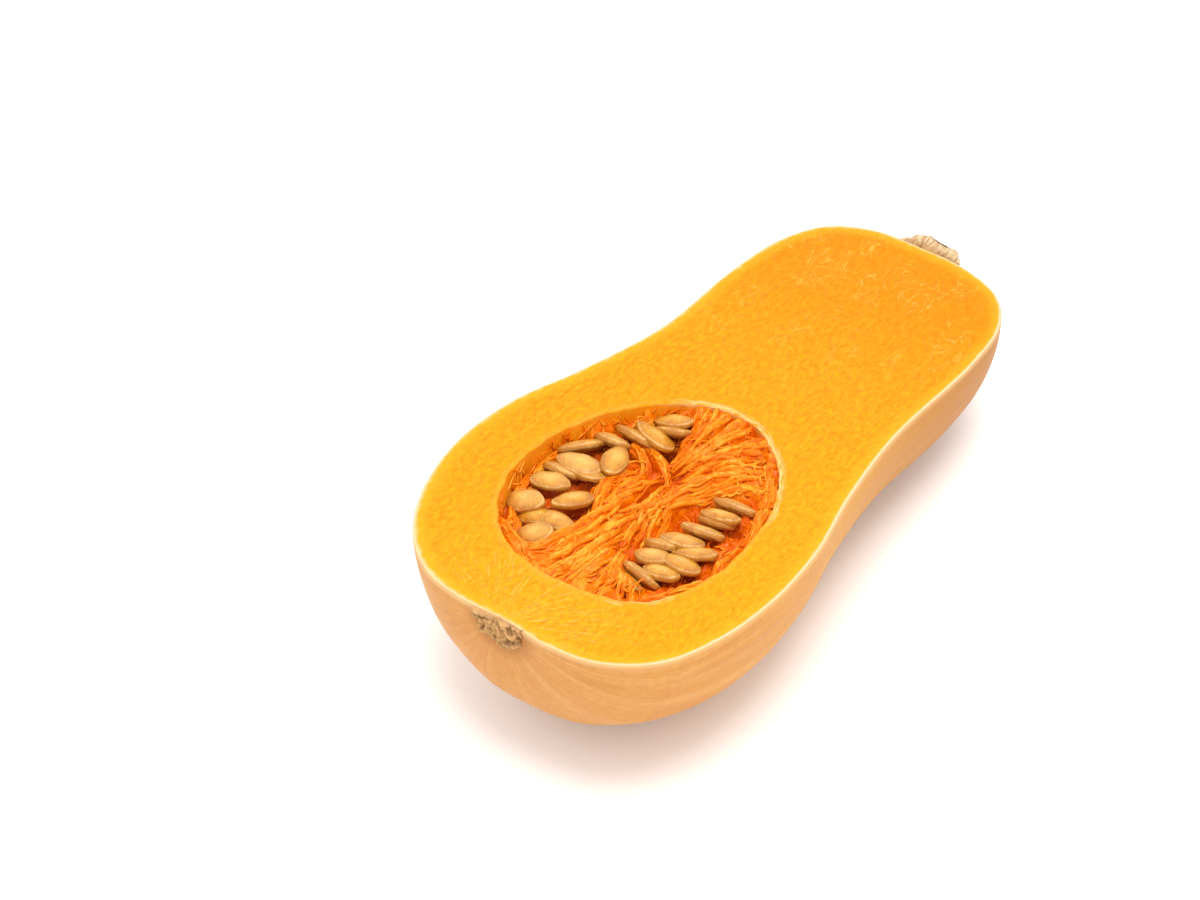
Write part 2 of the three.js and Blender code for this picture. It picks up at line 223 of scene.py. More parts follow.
def bed_height(angle, share):
    """Height of the bed of fibres, from the heart (share 0) to the wall (share 1)."""
    climb = max(
        math.exp(-((turned(math.radians(toward), angle) / math.radians(spread)) ** 4))
        for toward, spread in CLIMBS
    )
    plain = lerp(NEAR_RIM_DEPTH, FAR_RIM_DEPTH, 0.5 + 0.5 * math.sin(angle))
    depth = lerp(HEART_DEPTH, lerp(plain, STRAND_RIM_DEPTH, climb), share**1.4)
    swell = max(0.0, math.sin(math.pi * min(1.0, share))) ** 0.7
    fold = abs(math.sin(FOLDS * angle + 0.9 * math.sin(3 * angle)))
    return -depth + swell * FOLD_RISE * fold


def cut_frame():
    """The matrix from the cut frame, in metres, to the frame of the CAD, read off its half.

    The cut face gives the turn and the height, and the blossom end and the sides give the rest.
    """
    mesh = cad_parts["flesh_half"].data
    up = Vector()
    for face in mesh.polygons:
        if face.normal.z > 0.95 and abs(face.normal.y) < 0.001:
            up += face.normal * face.area
    turn = Matrix.Rotation(math.atan2(up.x, up.z), 4, "Y")
    co = np.array([turn.inverted() @ vert.co for vert in mesh.vertices])
    shares = np.linspace(0, 1, 2001)
    x = co[:, 0].min() - near_edge(shares)[0].min() * MM
    near_y = co[:, 1].min() + near_edge(shares)[1].max() * MM
    far_y = co[:, 1].max() - far_edge(shares)[1].max() * MM
    return turn @ Matrix.Translation((x, (near_y + far_y) / 2, co[:, 2].max()))


CUT_FRAME = cut_frame()


# ---------------------------------------------------------------- mesh helpers
def deselect():
    """Leaves edit mode and selects nothing."""
    if bpy.context.object and bpy.context.object.mode != "OBJECT":
        bpy.ops.object.mode_set(mode="OBJECT")
    bpy.ops.object.select_all(action="DESELECT")


@contextmanager
def editing():
    """Keeps the active piece in edit mode for as long as the block lasts."""
    bpy.ops.object.mode_set(mode="EDIT")
    yield
    bpy.ops.object.mode_set(mode="OBJECT")


def start(name):
    """Names the primitive that was just added."""
    piece = bpy.context.object
    piece.name = piece.data.name = name
    return piece


def points_of(mesh):
    """The places of a mesh's vertices, one row each."""
    co = np.empty(len(mesh.vertices) * 3)
    mesh.vertices.foreach_get("co", co)
    return co.reshape(-1, 3)


def set_points(mesh, co):
    mesh.vertices.foreach_set("co", np.asarray(co, np.float32).ravel())
    mesh.update()


def values_of(mesh, name):
    """The values that a mesh's vertices hold under a name."""
    found = np.empty(len(mesh.vertices))
    mesh.attributes[name].data.foreach_get("value", found)
    return found


def set_values(mesh, name, values):
    layer = mesh.attributes.get(name) or mesh.attributes.new(name, "FLOAT", "POINT")
    layer.data.foreach_set("value", np.asarray(values, np.float32))


def edge_ends(mesh):
    """The two vertices of each edge, by number."""
    ends = np.empty(len(mesh.edges) * 2, int)
    mesh.edges.foreach_get("vertices", ends)
    return ends.reshape(-1, 2)


def pick_edges(mesh, wanted):
    """Selects these edges, given as one truth value each, and nothing else."""
    picked = np.zeros(len(mesh.vertices), bool)
    picked[edge_ends(mesh)[wanted].ravel()] = True
    mesh.polygons.foreach_set("select", np.zeros(len(mesh.polygons), bool))
    mesh.edges.foreach_set("select", wanted)
    mesh.vertices.foreach_set("select", picked)


def dress(piece, *finishes):
    """Gives a piece its materials."""
    for name in finishes:
        piece.data.materials.append(bpy.data.materials["squash " + name])


def settle(piece, slot, *nodes):
    """Moves a finished piece from the cut frame to its place, and fixes it to the root body."""
    mesh = piece.data
    mesh.transform(CUT_FRAME @ Matrix.Scale(MM, 4))
    co = points_of(mesh)
    co[:, 2] = np.maximum(co[:, 2], 0)
    set_points(mesh, co)
    mesh.polygons.foreach_set("use_smooth", np.ones(len(mesh.polygons), bool))
    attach(piece, "root")
    if nodes:
        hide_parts(*nodes)
    deselect()


def outward(piece):
    """Turns the faces of a closed piece outwards."""
    deselect()
    bpy.context.view_layer.objects.active = piece
    piece.select_set(True)
    with editing():
        bpy.ops.mesh.select_all(action="SELECT")
        bpy.ops.mesh.normals_make_consistent(inside=False)


def ripple(co, size, seed=0.0, octaves=2):
    """Smooth noise from -1 to 1 at each point, with features of about that size."""
    shift = Vector((seed * 7.3, seed * 3.1, seed * 11.7))
    return np.array([noise.fractal(Vector(p) / size + shift, 0.9, 2.1, octaves) for p in co])


def rounded(co, size, seed=0.0):
    """Round-backed cords of height 0 to 1 with sharp gaps between them, of about that size."""
    shift = Vector((seed * 4.7, seed * 6.1, seed * 3.9))
    return np.array([min(1.0, abs(noise.noise(Vector(p) / size + shift)) * 3.2) ** 0.55 for p in co])


def ridged(co, size, seed=0.0):
    """Sharp ridges of height 0 to 1, with features of about that size."""
    shift = Vector((seed * 5.9, seed * 8.3, seed * 2.7))
    return np.array([1 - min(1.0, abs(noise.noise(Vector(p) / size + shift)) * 2.6) for p in co])


def rod(sides, steps):
    """Models one straight strand along z from 0 to 1, and gives its vertices and faces."""
    deselect()
    bpy.ops.mesh.primitive_cylinder_add(
        vertices=sides, radius=1, depth=1, end_fill_type="TRIFAN", location=(0, 0, 0.5)
    )
    piece = start("rod")
    mesh = piece.data
    bpy.ops.object.transform_apply(location=True)
    ends = edge_ends(mesh)
    z = points_of(mesh)[:, 2]
    pick_edges(mesh, np.abs(z[ends[:, 0]] - z[ends[:, 1]]) > 0.5)
    # Only the picked edges are cut: in vertex mode, those between two picked ends would be too.
    bpy.context.tool_settings.mesh_select_mode = (False, True, False)
    with editing():
        bpy.ops.mesh.subdivide(number_cuts=steps - 1)
    bpy.context.tool_settings.mesh_select_mode = (True, False, False)
    co = points_of(mesh)
    faces = [tuple(face.vertices) for face in mesh.polygons]
    bpy.data.objects.remove(piece)
    return co, faces


STRAND_TIP = 0.25  # width of a strand's ends, as a share of its width next to them


def strands(name, sides, steps, paths):
    """Copies one rod along many paths, and gives them as one mesh object.

    Each path is a list of (x, y, z, width, height) in the cut frame, and is followed smoothly.
    """
    co, faces = rod(sides, steps)
    stage = np.round(co[:, 2] * steps).astype(int)
    tour = np.arctan2(co[:, 1], co[:, 0])
    hub = np.hypot(co[:, 0], co[:, 1]) < 0.01
    taper = np.ones(steps + 1)
    taper[0] = taper[-1] = STRAND_TIP
    made, tint = [], []
    for number, path in enumerate(paths):
        line = smooth_line(np.array(path, float), np.linspace(0, 1, steps + 1))
        centre = line[:, :3]
        run = np.gradient(centre, axis=0)
        run /= np.linalg.norm(run, axis=1)[:, None] + 1e-9
        side = np.cross(run, (0.0, 0.0, 1.0))
        side /= np.linalg.norm(side, axis=1)[:, None] + 1e-9
        crown = np.cross(side, run)
        wide = (line[:, 3] * taper / 2)[stage] * np.where(hub, 0, np.cos(tour))
        high = (line[:, 4] * taper / 2)[stage] * np.where(hub, 0, np.sin(tour))
        made.append(centre[stage] + side[stage] * wide[:, None] + crown[stage] * high[:, None])
        tint.append(np.full(len(co), (number * GOLDEN) % 1))
    mesh = bpy.data.meshes.new(name)
    size = len(co)
    mesh.from_pydata(
        np.concatenate(made).tolist(),
        [],
        [tuple(v + size * number for v in face) for number in range(len(paths)) for face in faces],
    )
    set_values(mesh, "tint", np.concatenate(tint))
    piece = bpy.data.objects.new(name, mesh)
    bpy.context.scene.collection.objects.link(piece)
    return piece


def smooth_line(knots, shares):
    """A smooth line through knots, at shares from 0 to 1 of their number."""
    ring = np.vstack([2 * knots[0] - knots[1], knots, 2 * knots[-1] - knots[-2]])
    spans = len(knots) - 1
    place = np.clip(shares, 0, 1) * spans
    first = np.minimum(place.astype(int), spans - 1)
    t = (place - first)[:, None]
    p0, p1, p2, p3 = (ring[first + step] for step in range(4))
    return 0.5 * (
        2 * p1
        + (p2 - p0) * t
        + (2 * p0 - 5 * p1 + 4 * p2 - p3) * t**2
        + (3 * p1 - p0 - 3 * p2 + p3) * t**3
    )


def join(pieces, name):
    """Joins pieces into one, under a new name."""
    deselect()
    for piece in pieces:
        piece.select_set(True)
    bpy.context.view_layer.objects.active = pieces[0]
    bpy.ops.object.join()
    return start(name)


# ---------------------------------------------------------------- node helpers
class Nodes:
    """Adds nodes to a material or a group, and feeds each input from a socket or a value."""

    def __init__(self, tree):
        self.tree = tree
        self.count = 0

    def add(self, kind, **settings):
        node = self.tree.nodes.new(kind)
        node.location = (self.count % 8 * 190 - 1600, -(self.count // 8) * 260)
        self.count += 1
        for name, value in settings.items():
            setattr(node, name, value)
        return node

    def feed(self, socket, value):
        if isinstance(value, bpy.types.NodeSocket):
            self.tree.links.new(value, socket)
        elif isinstance(value, tuple) and len(value) == 3 and socket.type == "RGBA":
            socket.default_value = (*value, 1)
        elif value is not None:
            socket.default_value = value

    def math(self, operation, a, b=None, c=None, clamp=False):
        node = self.add("ShaderNodeMath", operation=operation, use_clamp=clamp)
        for socket, value in zip(node.inputs, (a, b, c)):
            self.feed(socket, value)
        return node.outputs[0]

    def times(self, a, b, *more):
        """The product of two or more sockets or values."""
        product = self.math("MULTIPLY", a, b)
        return self.times(product, *more) if more else product

    def stir(self, base, field, amount):
        """Adds to a base what a field from 0 to 1 is above its middle, times an amount."""
        return self.math("MULTIPLY_ADD", self.math("SUBTRACT", field, 0.5), amount, base)

    def vector(self, operation, a, b=None):
        node = self.add("ShaderNodeVectorMath", operation=operation)
        for socket, value in zip(node.inputs, (a, b)):
            self.feed(socket, value)
        return node.outputs["Value" if operation in ("LENGTH", "DOT_PRODUCT") else "Vector"]

    def spread(self, value, low, high, to_low=0.0, to_high=1.0):
        """Maps low..high smoothly onto to_low..to_high."""
        node = self.add("ShaderNodeMapRange", interpolation_type="SMOOTHSTEP")
        for socket, given in zip(node.inputs, (value, low, high, to_low, to_high)):
            self.feed(socket, given)
        return node.outputs[0]

    def mix(self, share, a, b, blend="MIX"):
        node = self.add("ShaderNodeMix", data_type="RGBA", blend_type=blend, clamp_factor=True)
        for name, value in (("Factor", share), ("A", a), ("B", b)):
            sockets = [s for s in node.inputs if s.name == name and s.enabled]
            self.feed(sockets[0], value)
        return next(s for s in node.outputs if s.enabled)

    def lay(self, color, over, share, amount=None):
        """Lays a colour, given as 0xRRGGBB, over another: by a share, or by an amount of it."""
        if amount is not None:
            share = self.math("MULTIPLY", share, amount)
        return self.mix(share, color, tone(over))

    def noise(self, place, scale, detail=2.0, rough=0.5, bend=0.0):
        node = self.add("ShaderNodeTexNoise")
        self.feed(node.inputs["Vector"], place)
        self.feed(node.inputs["Scale"], scale)
        self.feed(node.inputs["Detail"], detail)
        self.feed(node.inputs["Roughness"], rough)
        self.feed(node.inputs["Distortion"], bend)
        return node.outputs["Fac"]

    def cells(self, place, scale, feature="F1"):
        node = self.add("ShaderNodeTexVoronoi", feature=feature)
        self.feed(node.inputs["Vector"], place)
        self.feed(node.inputs["Scale"], scale)
        return node.outputs["Distance"]

    def value(self, name):
        return self.add("ShaderNodeAttribute", attribute_name=name).outputs["Fac"]

    def join(self, x, y, z):
        node = self.add("ShaderNodeCombineXYZ")
        for socket, value in zip(node.inputs, (x, y, z)):
            self.feed(socket, value)
        return node.outputs[0]

    def circle(self, angle, size, third):
        """Coordinates that go round with an angle, so that a pattern on them closes up."""
        cosine, sine = self.math("COSINE", angle), self.math("SINE", angle)
        return self.join(self.times(cosine, size), self.times(sine, size), third)

    def apart(self, place):
        node = self.add("ShaderNodeSeparateXYZ")
        self.feed(node.inputs[0], place)
        return node.outputs

    def bump(self, height, depth, strength=1.0, normal=None):
        node = self.add("ShaderNodeBump")
        self.feed(node.inputs["Strength"], strength)
        self.feed(node.inputs["Distance"], depth)
        self.feed(node.inputs["Height"], height)
        self.feed(node.inputs["Normal"], normal)
        return node.outputs[0]

    def group(self, tree, **inputs):
        node = self.add("ShaderNodeGroup", node_tree=tree)
        for name, value in inputs.items():
            self.feed(node.inputs[name.replace("_", " ")], value)
        return node.outputs

    def mask(self, tree, place, **inputs):
        """The mask that a group puts out at a place."""
        return self.group(tree, Place=place, **inputs)["Mask"]

    def cut_place(self):
        """Object coordinates, turned and moved back into the cut frame, in millimetres."""
        coords = self.add("ShaderNodeTexCoord").outputs["Object"]
        back = self.add("ShaderNodeMapping", vector_type="TEXTURE")
        self.feed(back.inputs["Vector"], coords)
        back.inputs["Location"].default_value = CUT_FRAME.translation
        back.inputs["Rotation"].default_value = CUT_FRAME.to_euler()
        back.inputs["Scale"].default_value = (MM, MM, MM)
        return back.outputs[0]


# ---------------------------------------------------------------- settings
def color_setting(name, description, code):
    """A colour that a user may change, with its default given as 0xRRGGBB."""
    return bpy.props.FloatVectorProperty(
        name=name, description=description, default=tone(code), subtype="COLOR", min=0, max=1,
    )


class SquashBodySettings(bpy.types.PropertyGroup):
    """Sizes and colours of the halved body."""

    rim_round: bpy.props.FloatProperty(
        name="Rim rounding", description="Rounding of the cut edge of the rind",
        default=0.0009, min=0.0001, max=0.003, unit="LENGTH",
    )
    lip_round: bpy.props.FloatProperty(
        name="Lip rounding", description="Rounding of the edge of the seed hollow",
        default=0.0005, min=0.0001, max=0.003, unit="LENGTH",
    )
    rind: color_setting("Rind", "Main colour of the rind", 0xDA9B3E)
    blush: color_setting("Blush", "Pinkish patches of the rind near the blossom end", 0xD88C40)
    flesh: color_setting("Flesh", "Cut flesh of the neck", 0xF98A02)
    bulb_flesh: color_setting("Bulb flesh", "Cut flesh of the bulb, near the blossom end", 0xFB980A)
    margin: color_setting("Margin", "Pale band of the flesh under the rind", 0xF7CC90)


class SquashPulpSettings(bpy.types.PropertyGroup):
    """Amounts and colours of the pulp."""

    cords: bpy.props.FloatProperty(
        name="Cords", description="Share of the thick strands in each bundle",
        default=0.62, min=0, max=2,
    )
    threads: bpy.props.FloatProperty(
        name="Threads", description="Share of the fine strands in each bundle",
        default=0.5, min=0, max=2,
    )
    teeth: bpy.props.IntProperty(
        name="Teeth", description="Torn bits that rise out of the bundles",
        default=260, min=0, max=1200,
    )
    shreds: bpy.props.IntProperty(
        name="Shreds", description="Torn bits on the bed of pulp",
        default=260, min=0, max=1200,
    )
    climbers: bpy.props.IntProperty(
        name="Climbers", description="Threads that climb the wall of the hollow",
        default=190, min=0, max=900,
    )
    # Crest and deep also carry painted light and shade: the raised fibres painted lit, the sunken
    # parts painted shaded.
    crest: color_setting("Crest", "Raised fibres of the pulp", 0xFC8403)
    deep: color_setting("Deep", "Sunken parts of the pulp", 0xE25E00)


class SquashSeedSettings(bpy.types.PropertyGroup):
    """Size and colours of the seeds."""

    thickness: bpy.props.FloatProperty(
        name="Thickness", description="Thickness of a seed",
        default=0.0040, min=0.001, max=0.005, unit="LENGTH",
    )
    hull: color_setting("Hull", "Main colour of the seeds", 0xDB951A)
    edge: color_setting("Edge", "Groove inside the raised edge of a seed", 0x96561E)


class SquashCorkSettings(bpy.types.PropertyGroup):
    """Colours of the blossom scar and the stem stub."""

    scar: color_setting("Scar", "Cork of the blossom scar", 0xDCA464)
    stub: color_setting("Stub", "Dry fibres of the cut stem", 0xF0D4A6)
    crevice: color_setting("Crevice", "Cracks in the cork", 0x7E4A1C)


class SquashStageSettings(bpy.types.PropertyGroup):
    """Floor, light and camera."""

    floor_size: bpy.props.FloatProperty(
        name="Floor size", description="Side of the floor", default=9.0, min=1, unit="LENGTH",
    )
    key_power: bpy.props.FloatProperty(
        name="Key light", description="Power of the soft light, in watts", default=29, min=0,
    )
    fill: bpy.props.FloatProperty(
        name="Fill", description="Strength of the light from all round", default=1.28, min=0,
    )
    lens: bpy.props.FloatProperty(
        name="Lens", description="Focal length of the camera",
        default=115.72, min=10, max=300, unit="CAMERA",
    )


# ---------------------------------------------------------------- halved body
SKIN_COLUMNS = 144
SKIN_ROWS = 176
FACE_RINGS = 44
BOWL_RINGS = 26
RIM_RINGS = 4
# Rings between one level and the next, inwards from the cut edge of the rind (level 0).
LEVEL_RINGS = (RIM_RINGS, FACE_RINGS, RIM_RINGS, BOWL_RINGS)  # rim, cut face, lip, bowl
ON_EDGE = 0.002  # how near to the cut a spot of the skin counts as lying on it
DEEP_INSIDE = 20.0  # given as the distance to the rind in the bowl
FAR_OUTSIDE = 60.0  # given as the distance to the hollow on the rind
HOLLOW_WAVER = 0.7  # unevenness of the hollow's edge
WALL_WAVER = 0.35  # unevenness of its wall


def outline_spots():
    """The cut outline by spoke: near edge from blossom to stem, then the far edge back."""
    shares = np.arange(2 * SKIN_ROWS) / SKIN_ROWS
    near = shares <= 1
    share = np.where(near, shares, 2 - shares)
    x, w = np.where(near, near_edge(share), far_edge(share))
    spots = np.stack([x, np.where(near, -w, w)], axis=1)
    run = np.roll(spots, -1, axis=0) - np.roll(spots, 1, axis=0)
    run /= np.linalg.norm(run, axis=1)[:, None]
    return spots, np.stack([-run[:, 1], run[:, 0]], axis=1)


def hollow_spots(spots):
    """The hollow's edge in the direction of each spot, a little uneven."""
    ways = spots - (HOLLOW_X, HOLLOW_Y)
    angles = np.arctan2(ways[:, 1], ways[:, 0])
    reach = np.array([hollow_reach(a) for a in angles])
    round_way = np.stack([np.cos(angles), np.sin(angles), 0 * angles], axis=1)
    reach += HOLLOW_WAVER * ripple(round_way, 0.16, 3, 3)
    return np.stack([HOLLOW_X + reach * np.cos(angles), HOLLOW_Y + reach * np.sin(angles)], axis=1)


def nearest(spots, line):
    """Distance from each spot to the nearest point of a closed line."""
    after = np.roll(line, -1, axis=0)
    fine = np.concatenate([line * (1 - t) + after * t for t in (0, 0.25, 0.5, 0.75)])
    return np.array([np.sqrt(((fine - spot) ** 2).sum(axis=1).min()) for spot in spots])


class MESH_OT_squash_body(bpy.types.Operator):
    """Adds the halved body, with its rind, its cut face and the wall of its seed hollow"""

    bl_idname = "mesh.squash_body"
    bl_label = "Halved body"
    bl_options = {"REGISTER", "UNDO"}

    def execute(self, context):
        sizes = context.scene.squash_body
        rim, lip = sizes.rim_round / MM, sizes.lip_round / MM
        deselect()
        bpy.ops.mesh.primitive_uv_sphere_add(segments=SKIN_COLUMNS, ring_count=SKIN_ROWS, radius=1)
        piece = start("squash_half")
        mesh = piece.data
        ball = points_of(mesh)
        share = np.round(np.arccos(np.clip(-ball[:, 2], -1, 1)) / np.pi * SKIN_ROWS) / SKIN_ROWS
        turn = np.arctan2(ball[:, 1], ball[:, 0])
        turn = np.round(turn / (2 * np.pi) * SKIN_COLUMNS) / SKIN_COLUMNS * 2 * np.pi
        set_points(mesh, skin_points(share, turn))
        far = (np.cos(turn) < -0.999) & (share > 0) & (share < 1)
        set_values(mesh, "share", share)
        set_values(mesh, "turn", np.abs(turn))
        set_values(mesh, "spoke", np.where(far, 2 - share, share) * SKIN_ROWS)
        set_values(mesh, "level", np.zeros(len(ball)))

        # The upper half is cut away, and the cut edge is drawn in to the rim, the cut face, the
        # lip of the hollow and the bottom of the hollow, each divided into rings.
        with editing():
            bpy.ops.mesh.select_all(action="SELECT")
            bpy.ops.mesh.bisect(
                plane_co=(0, 0, 0), plane_no=(0, 0, 1), clear_outer=True, threshold=ON_EDGE
            )
            bpy.ops.mesh.select_mode(type="EDGE")
            bpy.ops.mesh.select_all(action="DESELECT")
            bpy.ops.mesh.select_non_manifold(
                extend=False, use_wire=False, use_multi_face=False,
                use_non_contiguous=False, use_verts=False,
            )
        for level in range(1, len(LEVEL_RINGS) + 1):
            with editing():
                bpy.ops.mesh.extrude_region()
            picked = np.empty(len(mesh.vertices), bool)
            mesh.vertices.foreach_get("select", picked)
            levels = values_of(mesh, "level")
            levels[picked] = level
            set_values(mesh, "level", levels)
        for level, rings in enumerate(LEVEL_RINGS, 1):
            ends = edge_ends(mesh)
            levels = values_of(mesh, "level")
            low, high = levels[ends].min(axis=1), levels[ends].max(axis=1)
            pick_edges(mesh, (np.abs(low - level + 1) < 0.01) & (np.abs(high - level) < 0.01))
            with editing():
                bpy.ops.mesh.select_mode(type="EDGE")
                bpy.ops.mesh.subdivide(number_cuts=rings - 1)

        self.shape(mesh, rim, lip)

        # The last ring becomes one point at the bottom of the hollow.
        with editing():
            bpy.ops.mesh.select_mode(type="VERT")
        last = values_of(mesh, "level") > len(LEVEL_RINGS) - 0.001
        pick_edges(mesh, last[edge_ends(mesh)].all(axis=1))
        with editing():
            bpy.ops.mesh.select_mode(type="VERT")
            bpy.ops.mesh.merge(type="COLLAPSE")
        outward(piece)

        levels = values_of(mesh, "level")
        dress(piece, "rind", "flesh")
        mesh.polygons.foreach_set("material_index", [
            int(np.mean(levels[list(face.vertices)]) > 0.4) for face in mesh.polygons
        ])
        settle(piece, "flesh", "flesh_half")
        return {"FINISHED"}

    @staticmethod
    def shape(mesh, rim, lip):
        """Places every ring of the body by its level, and notes its distance to rind and hollow."""
        co = points_of(mesh)
        level, share, turn = (values_of(mesh, name) for name in ("level", "share", "turn"))
        spoke = np.round(values_of(mesh, "spoke")).astype(int) % (2 * SKIN_ROWS)
        spots, inward = outline_spots()
        width = np.abs(spots[:, 1])
        first = np.clip(0.45 * width * math.sin(2 * math.pi / SKIN_COLUMNS), 0.03, rim)
        bend = np.arcsin(1 - first / rim)  # where on the rim's rounding the skin ends

        # Skin rows that lie within the rounding follow it.
        skin = level == 0
        deep = np.clip(-co[:, 2], 0, rim)
        way = np.where(turn > np.pi / 2, 2 * SKIN_ROWS - share * SKIN_ROWS, share * SKIN_ROWS)
        way = np.round(way).astype(int) % (2 * SKIN_ROWS)
        edge = skin & (np.abs(co[:, 2]) < ON_EDGE)
        deep[edge] = first[way[edge]]
        drawn = rim - np.sqrt(np.maximum(0, rim**2 - (rim - deep) ** 2))
        co[skin, :2] += (inward[way] * drawn[:, None])[skin]
        co[edge, 2] = -deep[edge]

        part = (level > 0) & (level <= 1)
        lean = lerp(bend[spoke], np.pi / 2, level)
        rounding = spots[spoke] + inward[spoke] * (rim * (1 - np.cos(lean)))[:, None]
        co[part] = np.column_stack([rounding, -rim * (1 - np.sin(lean))])[part]

        outer = spots + inward * rim
        inner = hollow_spots(spots)
        centre = np.array([HOLLOW_X, HOLLOW_Y])
        reach = np.linalg.norm(inner - centre, axis=1)
        lipped = centre + (inner - centre) * ((reach + lip) / reach)[:, None]
        part = (level > 1) & (level <= 2)
        face = outer[spoke] + (lipped - outer)[spoke] * (level - 1)[:, None]
        co[part] = np.column_stack([face, np.zeros(len(face))])[part]

        part = (level > 2) & (level <= 3)
        lean = (level - 2) * np.pi / 2
        share_out = 1 + lip * (1 - np.sin(lean)) / reach[spoke]
        eased = centre + (inner[spoke] - centre) * share_out[:, None]
        co[part] = np.column_stack([eased, -lip * (1 - np.cos(lean))])[part]

        part = level > 3
        lip_lean = math.asin(lip / HOLLOW_DEEP)
        lean = lerp(lip_lean, np.pi / 2, np.maximum(0, level - 3) ** 1.3)
        bowl = centre + (inner[spoke] - centre) * (np.cos(lean) / math.cos(lip_lean))[:, None]
        bowl = np.column_stack([bowl, -HOLLOW_DEEP * np.sin(lean)])
        rough = WALL_WAVER * ripple(bowl[part], 5, 4) * np.minimum(1, (level[part] - 3) * 6)
        out = np.column_stack([bowl[part][:, :2] - centre, np.zeros(part.sum())])
        out /= np.linalg.norm(out, axis=1)[:, None] + 1e-6
        bowl[part] += out * rough[:, None]
        co[part] = bowl[part]
        set_points(mesh, co)

        face = (level > 0) & (level <= 3)
        rind_gap = np.zeros(len(co))
        rind_gap[face] = nearest(co[face, :2], spots)
        rind_gap[level > 3] = DEEP_INSIDE
        hollow_gap = np.full(len(co), FAR_OUTSIDE)
        hollow_gap[face] = np.where(level[face] > 2, 0, 1) * nearest(co[face, :2], lipped)
        hollow_gap[level > 2] = co[level > 2, 2]
        set_values(mesh, "rind_gap", rind_gap)
        set_values(mesh, "hollow_gap", hollow_gap)


# ---------------------------------------------------------------- pulp
BED_COLUMNS = 420
BED_ROWS = 208
UNDER_ROWS = 8

# Relief of the bundles: size across and rise of the clumps, the fibres in them and the finest lines.
CLUMP_SIZE, CLUMP_RISE = 4.4, 3.1
FIBRE_SIZE, FIBRE_RISE = 1.9, 1.7
FINE_SIZE, FINE_RISE = 0.85, 0.5
BUNDLE_SINK = 3.6  # how far the relief starts below a bundle's line
BUNDLE_CROWN = 1.7  # how far a bundle's middle stands above its sides
BUNDLE_FRINGE = 1.2  # how far a bundle reaches past its width
BUNDLE_SPOTS = 30  # spots of a bundle's line that its relief is measured from

SEED_BED_GAP = 1.1  # how far the pulp is pressed down below the middle of a seed
SEED_VEIL = 2.3  # how far the strands over a veiled seed lie above its middle
STRAND_STEPS = 9  # places of a strand in a bundle
SHORT_STEPS = 4  # places of a torn bit or a climbing thread
STRAND_SWAY = 1.3  # how far a strand strays from its line
TORN_SHARE = 0.5  # share of the strands that run along only a part of their bundle
PEELED_SHARE = 0.25  # share of the strands whose last part lifts off
STRAND_TOP, TORN_TOP = -0.5, -0.4  # the highest that strands and torn bits rise
CORD_ROD, THREAD_ROD, TORN_ROD = (8, 11), (6, 10), (6, 5)  # sides and steps of each kind
PULP_DICE = 4
BED_TOP = -0.9  # the highest that the bed rises, just under the cut face

